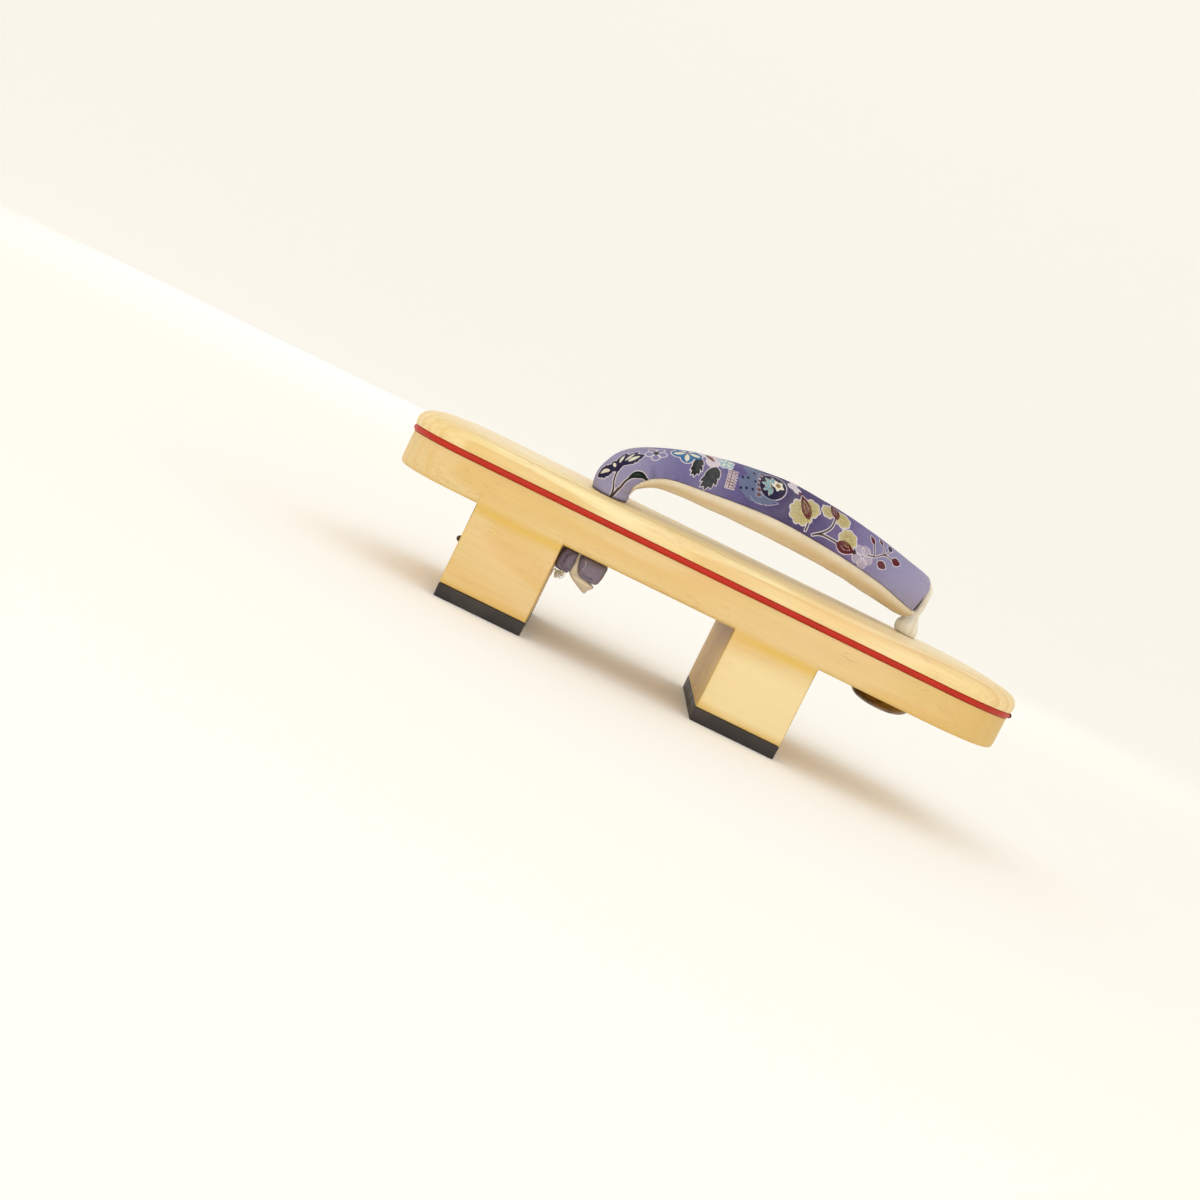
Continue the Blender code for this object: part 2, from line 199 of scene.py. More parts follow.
def loft(name, rings, material, **ends):
    """Skin a row of equal rings of points into one piece, closed unless its ends are set otherwise."""
    return piece(name, np.concatenate(rings), ring_faces(len(rings), len(rings[0]), **ends), material)


def applied(thing):
    """Replace an object's mesh with what its modifiers make of it."""
    bpy.context.view_layer.update()
    graph = bpy.context.evaluated_depsgraph_get()
    mesh = bpy.data.meshes.new_from_object(thing.evaluated_get(graph))
    thing.modifiers.clear()
    thing.data = mesh
    return thing


def boolean(target, operation, tool):
    """Unite an object with another, or cut it, and remove the other."""
    step = target.modifiers.new("step", "BOOLEAN")
    step.operation = operation
    step.solver = "EXACT"
    step.object = tool
    applied(target)
    bpy.data.objects.remove(tool)


def dress(thing, slot, *nodes):
    """Let a finished piece ride on the sandal and stand for its solids; the slot is not used."""
    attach(thing, "root")
    if nodes:
        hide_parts(*nodes)
    return thing


# Shader building -------------------------------------------------------------------------------
# Materials are measured in metres, apart from the cloth's own map.


def tint(red, green, blue):
    """Return a paint-chart colour of 0 to 255 as linear red, green, blue and a full alpha."""
    shares = (red / 255.0, green / 255.0, blue / 255.0)
    return tuple(s / 12.92 if s < 0.04045 else ((s + 0.055) / 1.055) ** 2.4 for s in shares) + (1.0,)


def node(tree, kind, feeds=None, **settings):
    """Place a node, set it up, and feed its inputs with values or with other nodes' outputs."""
    made = tree.nodes.new(kind)
    for name, value in settings.items():
        setattr(made, name, value)
    for key, value in (feeds or {}).items():
        if isinstance(value, bpy.types.NodeSocket):
            tree.links.new(value, made.inputs[key])
        else:
            made.inputs[key].default_value = value
    return made


def maths(tree, operation, first, second=0.0, third=0.0):
    """Return the output of a Math node."""
    return node(tree, "ShaderNodeMath", {0: first, 1: second, 2: third}, operation=operation).outputs[0]


def times(tree, first, second):
    """Return the product of two values."""
    return maths(tree, "MULTIPLY", first, second)


def ramp(tree, value, low, high, to_low=0.0, to_high=1.0):
    """Return a value eased from one range into another."""
    feeds = {"Value": value, "From Min": low, "From Max": high, "To Min": to_low, "To Max": to_high}
    return node(tree, "ShaderNodeMapRange", feeds, interpolation_type="SMOOTHSTEP").outputs[0]


def mixed(tree, share, below, above, blend="MIX"):
    """Return one colour laid over another."""
    feeds = {0: share, 6: below, 7: above}
    return node(tree, "ShaderNodeMix", feeds, data_type="RGBA", blend_type=blend).outputs[2]


def layered(tree, colour, layers):
    """Return a colour with others laid over it in turn, each by its share."""
    for share, above in layers:
        colour = mixed(tree, share, colour, above)
    return colour


def stretched(tree, vector, scale):
    """Return a vector with each axis scaled by its own amount."""
    return node(tree, "ShaderNodeMapping", {"Vector": vector, "Scale": scale}).outputs[0]


def noise(tree, vector, scale, detail=2.0, roughness=0.5, distortion=0.0):
    """Return the value of a Noise node, whose scale is one number or one for each axis."""
    if isinstance(scale, tuple):
        vector, scale = stretched(tree, vector, scale), 1.0
    feeds = {"Vector": vector, "Scale": scale, "Detail": detail, "Roughness": roughness}
    feeds["Distortion"] = distortion
    return node(tree, "ShaderNodeTexNoise", feeds).outputs["Fac"]


def axes(tree, vector):
    """Return a vector's X, Y and Z."""
    return tuple(node(tree, "ShaderNodeSeparateXYZ", {0: vector}).outputs)


def object_place(tree):
    """Return the Object coordinates."""
    return tree.nodes.new("ShaderNodeTexCoord").outputs["Object"]


def node_group(name, kind, inputs, outputs):
    """Make a node group from its named sockets and return it with its entry's and exit's sockets."""
    tree = bpy.data.node_groups.new(name, kind)
    for label, socket_kind, value in inputs:
        socket = tree.interface.new_socket(label, in_out="INPUT", socket_type="NodeSocket" + socket_kind)
        if value is not None:
            socket.default_value = value
    for label, socket_kind in outputs:
        tree.interface.new_socket(label, in_out="OUTPUT", socket_type="NodeSocket" + socket_kind)
    entry = tree.nodes.new("NodeGroupInput")
    leave = tree.nodes.new("NodeGroupOutput")
    return tree, entry.outputs, leave.inputs


def placed(tree, group_tree, feeds):
    """Place a node group in a material and return its outputs."""
    return node(tree, "ShaderNodeGroup", feeds, node_tree=group_tree).outputs


def make_grain_group():
    """Straight-grained wood: rings as upright layers that run lengthwise, and fine fibres."""
    tree, entry, leave = node_group(
        "straight_grain",
        "ShaderNodeTree",
        [
            ("Vector", "Vector", None),
            ("Ring Width", "Float", 0.004),
            ("Wander", "Float", 0.01),
            ("Fibre Length", "Float", 0.03),
        ],
        [("Rings", "Float"), ("Fibres", "Float"), ("Flecks", "Float"), ("Mottle", "Float")],
    )
    place = entry["Vector"]
    across, along, height = axes(tree, place)
    # The rings are parts of wide cylinders round a heart that lies beside the block and leans along it.
    slow = noise(tree, place, (16.0, 5.0, 22.0), 2.0, 0.5)
    heart_x, heart_z, heart_lean = 0.21, 0.03, 0.035
    away = maths(tree, "ADD", across, heart_x)
    rise = maths(tree, "SUBTRACT", height, heart_z)
    lean = maths(tree, "MULTIPLY_ADD", along, heart_lean, away)
    reach = maths(tree, "SQRT", maths(tree, "MULTIPLY_ADD", rise, rise, times(tree, lean, lean)))
    reach = maths(tree, "MULTIPLY_ADD", maths(tree, "SUBTRACT", slow, 0.5), entry["Wander"], reach)
    turn = maths(tree, "FRACT", maths(tree, "DIVIDE", reach, entry["Ring Width"]))
    late = times(tree, ramp(tree, turn, 0.35, 0.86), ramp(tree, turn, 0.86, 1.0, 1.0, 0.0))
    tree.links.new(late, leave["Rings"])
    # Fibres and flecks are noise drawn out along the block.
    lengthwise = maths(tree, "DIVIDE", 1.0, entry["Fibre Length"])
    scale = node(tree, "ShaderNodeCombineXYZ", {0: 900.0, 1: lengthwise, 2: 900.0}).outputs[0]
    thread = node(tree, "ShaderNodeVectorMath", {0: place, 1: scale}, operation="MULTIPLY").outputs[0]
    tree.links.new(ramp(tree, noise(tree, thread, 1.0, 3.0, 0.65), 0.3, 0.72), leave["Fibres"])
    dashes = ramp(tree, noise(tree, place, (1900.0, 260.0, 1900.0), 1.0, 0.5), 0.6, 0.7)
    sparse = ramp(tree, noise(tree, place, (90.0, 36.0, 90.0), 1.0, 0.5), 0.44, 0.62)
    tree.links.new(times(tree, dashes, sparse), leave["Flecks"])
    mottle = noise(tree, place, (34.0, 20.0, 40.0), 3.0, 0.55)
    tree.links.new(ramp(tree, mottle, 0.35, 0.68), leave["Mottle"])
    return tree


def make_weave_group():
    """Plain woven cloth with slightly crinkled threads, on a map measured in millimetres."""
    tree, entry, leave = node_group(
        "crinkled_weave",
        "ShaderNodeTree",
        [("Vector", "Vector", None), ("Threads", "Float", 2.2), ("Crinkle", "Float", 0.35)],
        [("Height", "Float"), ("Shade", "Float")],
    )
    shift = times(tree, noise(tree, entry["Vector"], 0.9, 2.0, 0.6), entry["Crinkle"])
    feeds = {0: entry["Vector"], 1: shift}
    shifted = axes(tree, node(tree, "ShaderNodeVectorMath", feeds, operation="ADD").outputs[0])
    pace = times(tree, entry["Threads"], 2.0 * math.pi)
    warp, weft = (maths(tree, "SINE", times(tree, axis, pace)) for axis in shifted[:2])
    height = maths(tree, "MULTIPLY_ADD", times(tree, warp, weft), 0.25, 0.5)
    ripple = noise(tree, entry["Vector"], (2.6, 1.1, 1.0), 3.0, 0.6)
    tree.links.new(maths(tree, "MULTIPLY_ADD", ripple, 0.9, height), leave["Height"])
    shade = maths(tree, "MULTIPLY_ADD", height, 0.5, ripple)
    tree.links.new(ramp(tree, shade, 0.4, 1.1), leave["Shade"])
    return tree


def make_handling_group():
    """Soft uneven patches, for dust, fading and handling."""
    tree, entry, leave = node_group(
        "handling",
        "ShaderNodeTree",
        [("Vector", "Vector", None), ("Patches", "Float", 60.0), ("Amount", "Float", 0.3)],
        [("Mask", "Float")],
    )
    patches = ramp(tree, noise(tree, entry["Vector"], entry["Patches"], 4.0, 0.6, 0.3), 0.38, 0.72)
    tree.links.new(times(tree, patches, entry["Amount"]), leave["Mask"])
    return tree


def make_ink_group():
    """One printed ink over the cloth's ground, by its distance from the motif's edge."""
    tree, entry, leave = node_group(
        "printed_ink",
        "ShaderNodeTree",
        [
            ("Ground", "Color", None),
            ("Ink", "Color", None),
            ("Distance", "Float", 1.0),
            ("Bleed", "Float", 0.1),
        ],
        [("Color", "Color")],
    )
    back = times(tree, entry["Bleed"], -1.0)
    mask = ramp(tree, entry["Distance"], back, entry["Bleed"], 1.0, 0.0)
    tree.links.new(mixed(tree, mask, entry["Ground"], entry["Ink"]), leave["Color"])
    return tree


GRAIN = make_grain_group()
WEAVE = make_weave_group()
HANDLING = make_handling_group()
INK = make_ink_group()


def finish(name, roughness, metallic=0.0, **plain):
    """Start a material and return it with its tree and its shader."""
    made = bpy.data.materials.new(name)
    made.use_nodes = True
    shader = made.node_tree.nodes["Principled BSDF"]
    shader.inputs["Roughness"].default_value = roughness
    shader.inputs["Metallic"].default_value = metallic
    for key, value in plain.items():
        shader.inputs[key.replace("_", " ")].default_value = value
    return made, made.node_tree, shader


def feed(tree, shader, colour, rough=None, relief=None):
    """Feed a shader's colour and, if given, its roughness and its relief: height, strength, distance."""
    tree.links.new(colour, shader.inputs["Base Color"])
    if rough is not None:
        tree.links.new(rough, shader.inputs["Roughness"])
    if relief is not None:
        feeds = dict(zip(("Height", "Strength", "Distance"), relief))
        tree.links.new(node(tree, "ShaderNodeBump", feeds).outputs[0], shader.inputs["Normal"])


def handled(tree, place, patches, amount):
    """Return the mask of the handling group."""
    return placed(tree, HANDLING, {"Vector": place, "Patches": patches, "Amount": amount})["Mask"]


def at_faces(tree, length, faces):
    """Return 1 on the upright faces at some places along the block, and 0 elsewhere."""
    mask = 0.0
    for face in faces:
        off = maths(tree, "ABSOLUTE", maths(tree, "SUBTRACT", length, face * METRE))
        mask = maths(tree, "MAXIMUM", mask, ramp(tree, off, 0.0002, 0.0004, 1.0, 0.0))
    return mask


# Where the wood's colour changes: heights, then places along the block, in metres.
# The crown's painted light rises between these heights.
CROWN_EDGE = (0.0548, 0.0562)
CORD_LINE = (0.0452, 0.0482)
TOOTH_TOP = (0.0335, 0.0345)
# Painted shade in the teeth's creases rises and falls between these heights.
CREASE_RISE, CREASE_FALL = (0.0298, 0.0326), (0.0332, 0.0356)
TOOTH_MIDDLE = (0.024, 0.031)
TOOTH_SHADE = (0.022, 0.034)
TOOTH_FOOT = (0.0055, 0.0088)
TOE_END = (-0.113, -0.052)
# The front tooth's painted light ends between these places along.
TOE_HALF = (-0.02, 0.0)
HEEL_END = (0.09, 0.11)


def make_wood():
    """Pale satin wood, ochre above the rubber, with painted shade in the creases where the teeth leave the
    footbed and up the teeth's upright faces, and painted light on the crown and on the front tooth's lower
    part.
    """
    made, tree, shader = finish("pale_wood", 0.46, Specular_IOR_Level=0.38)
    place = object_place(tree)
    _, length, height = axes(tree, place)
    grain = placed(tree, GRAIN, {"Vector": place, "Ring Width": 0.0049, "Wander": 0.024})
    bare = mixed(tree, grain["Mottle"], tint(251, 235, 182), tint(244, 221, 152))
    # Painted light: the crown is paled towards its middle to lift the shade that the strap's arms cast on
    # it.
    crown_painted_light = ramp(tree, height, *CROWN_EDGE, 0.0, 0.75)
    lower_wall = ramp(tree, height, *CORD_LINE, 0.8, 0.0)
    rings = times(tree, grain["Rings"], ramp(tree, length, *HEEL_END, 0.6, 0.36))
    peach = handled(tree, stretched(tree, place, (1.0, 0.45, 1.2)), 38.0, 0.42)
    below_cord = ramp(tree, height, *CORD_LINE, 1.0, 0.0)
    toe = times(tree, below_cord, ramp(tree, length, *TOE_END, 0.66, 0.0))
    # Painted light: the front tooth's lower part is paled, as the heel tooth's lower part lies in shade.
    low_on_teeth = ramp(tree, height, *TOOTH_MIDDLE, 0.6, 0.0)
    front_tooth_painted_light = times(tree, low_on_teeth, ramp(tree, length, *TOE_HALF, 1.0, 0.0))
    wisps = ramp(tree, noise(tree, place, (20.0, 26.0, 160.0), 2.0, 0.6), 0.3, 0.6, 0.3, 0.8)
    # Painted shade: a darker ochre band in the concave crease where each tooth's side meets the footbed's
    # wall.
    crease_painted_shade = times(tree, ramp(tree, height, *CREASE_RISE), ramp(tree, height, *CREASE_FALL, 1.0, 0.0))
    foot = ramp(tree, height, *TOOTH_FOOT, 1.0, 0.0)
    tooth_faces = at_faces(tree, length, [face for span in TOOTH_SPANS.values() for face in span])
    end_grain = times(tree, tooth_faces, ramp(tree, height, *TOOTH_TOP, 1.0, 0.0))
    # The teeth's upright faces show end grain, golden partly as painted warm shade, and painted shade
    # darkens it further towards the footbed above.
    coarse = ramp(tree, noise(tree, place, (420.0, 100.0, 90.0), 4.0, 0.65), 0.3, 0.7)
    ends = mixed(tree, coarse, tint(230, 190, 100), tint(192, 150, 66))
    ends = mixed(tree, ramp(tree, height, *TOOTH_SHADE, 0.0, 0.75), ends, tint(132, 84, 30))
    layers = [
        # (share, colour), from the lowest layer up
        (crown_painted_light, tint(254, 245, 214)),
        (lower_wall, tint(224, 194, 130)),
        (rings, tint(226, 184, 104)),
        (times(tree, grain["Fibres"], 0.34), tint(214, 178, 122)),
        (times(tree, grain["Flecks"], 0.32), tint(176, 132, 84)),
        (peach, tint(240, 198, 150)),
        (toe, tint(214, 176, 90)),
        (front_tooth_painted_light, tint(246, 228, 176)),
        (times(tree, crease_painted_shade, wisps), tint(224, 184, 84)),
        (times(tree, foot, wisps), tint(220, 180, 96)),
        (times(tree, end_grain, 0.8), ends),
    ]
    rough = maths(tree, "MULTIPLY_ADD", grain["Fibres"], 0.12, 0.42)
    relief = maths(tree, "MULTIPLY_ADD", grain["Rings"], -0.4, times(tree, grain["Fibres"], -0.6))
    relief = maths(tree, "MULTIPLY_ADD", grain["Flecks"], -0.8, relief)
    feed(tree, shader, layered(tree, bare, layers), rough, (relief, 0.3, 0.0002))
    return made


def make_rubber():
    """Hard black rubber, greyed by handling."""
    made, tree, shader = finish("black_rubber", 0.6, Specular_IOR_Level=0.35)
    place = object_place(tree)
    scuffs = handled(tree, place, 120.0, 0.55)
    colour = mixed(tree, scuffs, tint(58, 53, 52), tint(84, 77, 72))
    rough = ramp(tree, scuffs, 0.0, 0.5, 0.52, 0.75)
    feed(tree, shader, colour, rough, (noise(tree, place, 1600.0, 2.0, 0.6), 0.25, 0.0001))
    return made


def make_red_cord():
    """Smooth red cord, a little duller in patches."""
    made, tree, shader = finish("red_cord", 0.45, Specular_IOR_Level=0.3)
    place = object_place(tree)
    colour = mixed(tree, handled(tree, place, 90.0, 0.5), tint(190, 38, 14), tint(166, 30, 10))
    feed(tree, shader, colour, relief=(noise(tree, place, (900.0, 900.0, 2600.0)), 0.2, 0.0001))
    return made


def make_burnt_cord():
    """The cord's cut end, burnt dark."""
    made, tree, shader = finish("burnt_cord", 0.5)
    burnt = noise(tree, object_place(tree), 1500.0)
    feed(tree, shader, mixed(tree, burnt, tint(70, 28, 44), tint(120, 34, 44)))
    return made


def cloth_map(tree):
    """Return the cloth's own map in millimetres."""
    flat = node(tree, "ShaderNodeUVMap", uv_map="cloth").outputs[0]
    feeds = {0: flat, "Scale": 1.0 / MAP_SCALE}
    return node(tree, "ShaderNodeVectorMath", feeds, operation="SCALE").outputs[0]


def make_pale_cloth(name, light, shaded, threads, middle_shade):
    """Undyed cloth with a plain weave, with painted shade deepening its colour along its middle."""
    cloth_finish = {"Specular_IOR_Level": 0.2, "Sheen_Weight": 0.15, "Sheen_Roughness": 0.5}
    made, tree, shader = finish(name, 0.85, **cloth_finish)
    flat = cloth_map(tree)
    across = axes(tree, flat)[1]
    # Painted shade: a deeper ochre band along the middle of the cloth's width, where the lining faces down.
    painted_shade_band = times(tree, ramp(tree, across, 1.6, 4.4), ramp(tree, across, 5.2, 8.4, 1.0, 0.15))
    weave = placed(tree, WEAVE, {"Vector": flat, "Threads": threads, "Crinkle": 0.25})
    layers = [
        (times(tree, weave["Shade"], 0.35), shaded),
        (handled(tree, object_place(tree), 110.0, 0.5), shaded),
        (times(tree, painted_shade_band, middle_shade), tint(212, 182, 128)),
    ]
    feed(tree, shader, layered(tree, light, layers), relief=(weave["Height"], 0.35, 0.0002))
    return made


GROUND_LENGTH = 128.0
GROUND = [
    # (share of the arm's length, colour)
    (0.0, tint(164, 160, 192)),
    (0.1, tint(150, 145, 178)),
    (0.2, tint(118, 112, 156)),
    (0.36, tint(100, 90, 138)),
    (0.5, tint(68, 55, 96)),
    (0.6, tint(86, 72, 118)),
    (0.72, tint(124, 112, 156)),
    (0.85, tint(152, 148, 182)),
    (1.0, tint(172, 164, 188)),
]
INKS = {
    # name: colour, from the bottom ink up
    "pale": tint(220, 210, 216),
    "mist": tint(108, 124, 148),
    "blush": tint(212, 200, 206),
    "rust": tint(120, 74, 66),
    "stem": tint(62, 44, 40),
    "leaf": tint(12, 22, 22),
    "cream": tint(196, 184, 130),
    "blue": tint(62, 112, 156),
    "navy": tint(36, 30, 62),
    "maroon": tint(94, 28, 36),
    "sky": tint(138, 188, 200),
    "ivory": tint(228, 222, 202),
    "gold": tint(148, 118, 64),
    "olive": tint(44, 58, 40),
}
THIN_INKS = {
    # name: (roughness of its edge in millimetres, how much of the cloth it covers)
    "mist": (3.0, 0.72),
    "blush": (0.7, 0.5),
    "sky": (0.5, 0.85),
}


def printed(tree, flat, colour):
    """Return a ground colour with every ink printed over it."""
    for name, ink in INKS.items():
        distance = node(tree, "ShaderNodeAttribute", attribute_name="ink_" + name).outputs["Fac"]
        if name in THIN_INKS:
            rough, cover = THIN_INKS[name]
            worn = noise(tree, flat, 0.9, 3.0, 0.65)
            distance = maths(tree, "ADD", distance, maths(tree, "MULTIPLY_ADD", worn, rough, -0.45 * rough))
            ink = mixed(tree, cover, colour, ink)
        feeds = {"Ground": colour, "Ink": ink, "Distance": distance, "Bleed": 0.09}
        colour = placed(tree, INK, feeds)["Color"]
    return colour


def make_printed_cloth(name, shade_tone):
    """Violet cloth, shaded along the arm, with a traditional flower print in several inks, a painted shadow
    at its foot, and as much painted warm shade as asked.
    """
    cloth_finish = {"Specular_IOR_Level": 0.1, "Sheen_Weight": 0.05, "Sheen_Roughness": 0.5}
    made, tree, shader = finish(name, 0.82, **cloth_finish)
    flat = cloth_map(tree)
    weave = placed(tree, WEAVE, {"Vector": flat, "Threads": 2.4, "Crinkle": 0.4})
    along = axes(tree, flat)[0]
    chart = node(tree, "ShaderNodeValToRGB", {0: maths(tree, "DIVIDE", along, GROUND_LENGTH)})
    while len(chart.color_ramp.elements) < len(GROUND):
        chart.color_ramp.elements.new(0.5)
    for element, (share, ground) in zip(chart.color_ramp.elements, GROUND):
        element.position = share
        element.color = ground
    colour = printed(tree, flat, chart.outputs[0])
    colour = mixed(tree, times(tree, weave["Shade"], 0.3), colour, tint(150, 140, 160), "MULTIPLY")
    layers = [
        (handled(tree, object_place(tree), 70.0, 0.1), tint(200, 196, 206)),
        # Painted shadow: dark brown at the foot of the strap, where it meets the wood.
        (ramp(tree, along, -0.5, 0.15, 0.8, 0.0), tint(58, 40, 42)),
        # Painted shade: a warm greyish tone, as light bounced from the wood into shadow.
        (shade_tone, tint(150, 134, 112)),
    ]
    feed(tree, shader, layered(tree, colour, layers), relief=(weave["Height"], 0.4, 0.0002))
    return made


def make_brass():
    """Old brass, brown with tarnish and brighter in patches."""
    made, tree, shader = finish("old_brass", 0.36, 1.0)
    place = object_place(tree)
    tarnish = handled(tree, place, 150.0, 0.9)
    colour = mixed(tree, tarnish, tint(120, 84, 26), tint(62, 42, 16))
    rough = ramp(tree, tarnish, 0.0, 0.9, 0.3, 0.6)
    feed(tree, shader, colour, rough, (noise(tree, place, 500.0, 3.0), 0.15, 0.0002))
    return made


def make_tack_steel():
    """Dark steel of the tack, with a little rust."""
    made, tree, shader = finish("dark_steel", 0.45, 0.85)
    rust = handled(tree, object_place(tree), 900.0, 0.8)
    feed(tree, shader, mixed(tree, rust, tint(78, 74, 66), tint(96, 70, 42)))
    return made


def make_thread():
    """Loose ends of undyed thread."""
    made, tree, shader = finish("loose_thread", 0.9)
    shade = noise(tree, object_place(tree), 700.0, 1.0)
    feed(tree, shader, mixed(tree, shade, tint(216, 202, 168), tint(164, 142, 108)))
    return made


def make_stage_white():
    """Warm white paper of the floor, lit a little from behind where it rises."""
    made, tree, shader = finish("warm_white", 0.9, Specular_IOR_Level=0.1, Emission_Strength=1.0)
    shader.inputs["Base Color"].default_value = tint(252, 249, 243)
    away = node(tree, "ShaderNodeVectorMath", {0: object_place(tree)}, operation="LENGTH").outputs["Value"]
    glow = mixed(tree, ramp(tree, away, 0.25, 1.6), (0.05, 0.05, 0.049, 1.0), (0.13, 0.13, 0.126, 1.0))
    tree.links.new(glow, shader.inputs["Emission Color"])
    return made


WOOD = make_wood()
RUBBER = make_rubber()
RED_CORD = make_red_cord()
BURNT_CORD = make_burnt_cord()
PRINTED = make_printed_cloth("violet_cloth", 0.0)
# A copy of the violet cloth with painted shade, for the rolls in shadow under the footbed.
PAINTED_SHADE_VIOLET = make_printed_cloth("violet_cloth_painted_shade", 0.42)
# The cream cloth carries painted shade along its middle; the white cloth carries none.
CREAM = make_pale_cloth("cream_cloth", tint(230, 217, 194), tint(216, 198, 164), 1.8, 0.55)
WHITE = make_pale_cloth("white_cloth", tint(246, 241, 228), tint(230, 220, 198), 1.6, 0.0)
BRASS = make_brass()
STEEL = make_tack_steel()
THREAD = make_thread()


# Camera, stage and light -----------------------------------------------------------------------
# The camera and the lights stand in metres, the camera's turn is in degrees, and the stage is in
# millimetres.

CAMERA_PLACE = (-0.606962, 0.045478, 0.077197)
CAMERA_TURN = (83.95393, -26.00824, -88.7348)
CAMERA_LENS = 51.3578
STAGE_PROFILE = [
    # (radius, height): a flat floor that rises into a wall all round
    (20.0, 0.0),
    (400.0, 0.0),
    (800.0, 0.0),
    (1300.0, 0.0),
    (1800.0, 30.0),
    (2400.0, 160.0),
    (3000.0, 450.0),
    (3500.0, 950.0),
    (3750.0, 1600.0),
    (3850.0, 2300.0),
]
LIGHT_TARGET = (0.0, 0.0, 0.04)
LIGHTS = {
    # name: (place, diameter, power in watts, colour)
    "overhead": ((-0.5, 0.3, 1.5), 2.6, 6.8, (1.0, 0.99, 0.96)),
    "rear_fill": ((1.1, 0.15, 0.5), 1.4, 1.2, (1.0, 0.985, 0.95)),
    "front_fill": ((-1.3, 0.05, 0.4), 1.1, 2.2, (1.0, 0.985, 0.96)),
}


def make_camera():
    """Set the camera low on the sandal's right side, rolled as the view asks."""
    data = bpy.data.cameras.new("camera")
    data.lens = CAMERA_LENS
    data.sensor_width = 36.0
    data.clip_start = 0.01
    camera = bpy.data.objects.new("camera", data)
    camera.location = CAMERA_PLACE
    camera.rotation_euler = tuple(math.radians(turn) for turn in CAMERA_TURN)
    bpy.context.scene.collection.objects.link(camera)
    bpy.context.scene.camera = camera


def make_stage():
    """Make the pale floor, whose edge rises smoothly into a backdrop all round."""
    rings = [level_circle(0.0, 0.0, radius, height, 96) for radius, height in smooth_rows(STAGE_PROFILE, 3)]
    loft("floor", rings, make_stage_white(), closed_end=False)


def make_lights():
    """Soft even light from all round, stronger from above and from the camera's side."""
    world = bpy.data.worlds.new("soft_room")
    world.use_nodes = True
    background = world.node_tree.nodes["Background"]
    background.inputs["Color"].default_value = (1.0, 0.99, 0.965, 1.0)
    background.inputs["Strength"].default_value = 0.74
    bpy.context.scene.world = world
    for name, (place, diameter, power, colour) in LIGHTS.items():
        data = bpy.data.lights.new(name, "AREA")
        data.shape = "DISK"
        data.size = diameter
        data.energy = power
        data.color = colour
        light = bpy.data.objects.new(name, data)
        light.location = place
        light.rotation_euler = (Vector(LIGHT_TARGET) - Vector(place)).to_track_quat("-Z", "Y").to_euler()
        bpy.context.scene.collection.objects.link(light)
    bpy.context.scene.view_settings.view_transform = "Standard"


# Wood, rubber and cord -------------------------------------------------------------------------

CORNER_STEPS = 22
SIDE_STEPS = 30
END_STEPS = 8
CROWN_MIDDLE = 56.0
GROOVE_LOWER_LIP = [
    # (inset, height above the cord's middle)
    (0.4, -1.75),
    (0.42, -1.3),
    (0.66, -1.15),
]
GROOVE_UPPER_LIP = [
    # (inset, height above the cord's middle)
    (0.6, 1.1),
    (0.12, 1.04),
    (-0.14, 1.2),
    (-0.26, 1.6),
]
HOLE_RIM = [
    # (added radius, height), from below the underside up through the footbed
    (1.5, 32.0),
    (0.5, UNDERSIDE),
    (0.0, UNDERSIDE + 0.6),
    (0.0, 60.0),
]


def half_width(y):
    """Return half the footbed's width at a place along it."""
    share = -y / (LENGTH / 2.0)
    return WIDTH / 2.0 - SIDE_BOW * share ** 2 + TOE_BROADER * share


def quarter_plan(end, bow, corner, inset):
    """Return the plan from the middle of one end, round its corner, to the middle of the +X side."""
    centre_x = half_width(end * (LENGTH / 2.0 - corner)) - corner
    centre_y = LENGTH / 2.0 - bow * (2.0 * centre_x / WIDTH) ** 2 - corner
    points = []
    for step in range(END_STEPS):
        x = centre_x * step / END_STEPS
        points.append((x, end * (LENGTH / 2.0 - bow * (2.0 * x / WIDTH) ** 2 - inset)))
    for step in range(CORNER_STEPS + 1):
        turn = math.pi / 2.0 * step / CORNER_STEPS
        reach = corner - inset
        points.append((centre_x + reach * math.sin(turn), end * (centre_y + reach * math.cos(turn))))
    for step in range(1, SIDE_STEPS + 1):
        y = end * centre_y * (1.0 - step / SIDE_STEPS)
        points.append((half_width(y) - inset, y))
    return points


def plan(inset, height):
    """Return the footbed's whole plan, moved inward by an inset, as a level ring."""
    toe = quarter_plan(-1.0, TOE_BOW, TOE_CORNER, inset)
    heel = quarter_plan(1.0, HEEL_BOW, HEEL_CORNER, inset)
    right = toe + heel[-2::-1]
    left = [(-x, y) for x, y in right[-2:0:-1]]
    return [(x, y, height) for x, y in right + left]


def top_height(x, y):
    """Return the height of the footbed's crowned top at a place away from its corners."""
    insets, heights = zip(*UPPER_EDGE[1:])
    return float(np.interp(min(half_width(y) - abs(x), LENGTH / 2.0 - abs(y)), insets, heights))


def groove():
    """Return the (inset, height) levels of the round groove that the edge cord lies in."""
    levels = GROOVE_LOWER_LIP.copy()
    for step in range(1, 12):
        turn = math.pi * (step / 12 - 0.5)
        levels.append((GROOVE_INSET + GROOVE_RADIUS * math.cos(turn), GROOVE_RADIUS * math.sin(turn)))
    return [(inset, CORD_HEIGHT + rise) for inset, rise in levels + GROOVE_UPPER_LIP]


def rounded_box(half_x, near_y, far_y, corner, height):
    """Return a level rectangle with round corners."""
    ring = []
    corners = [(1.0, far_y, 1.0), (-1.0, far_y, 1.0), (-1.0, near_y, -1.0), (1.0, near_y, -1.0)]
    for index, (side_x, y, side_y) in enumerate(corners):
        for share in (0.0, 0.2, 0.4, 0.6, 0.8, 1.0):
            turn = math.pi / 2.0 * (index + share)
            x = side_x * (half_x - corner) + corner * math.cos(turn)
            ring.append((x, y - side_y * corner + corner * math.sin(turn), height))
    return ring


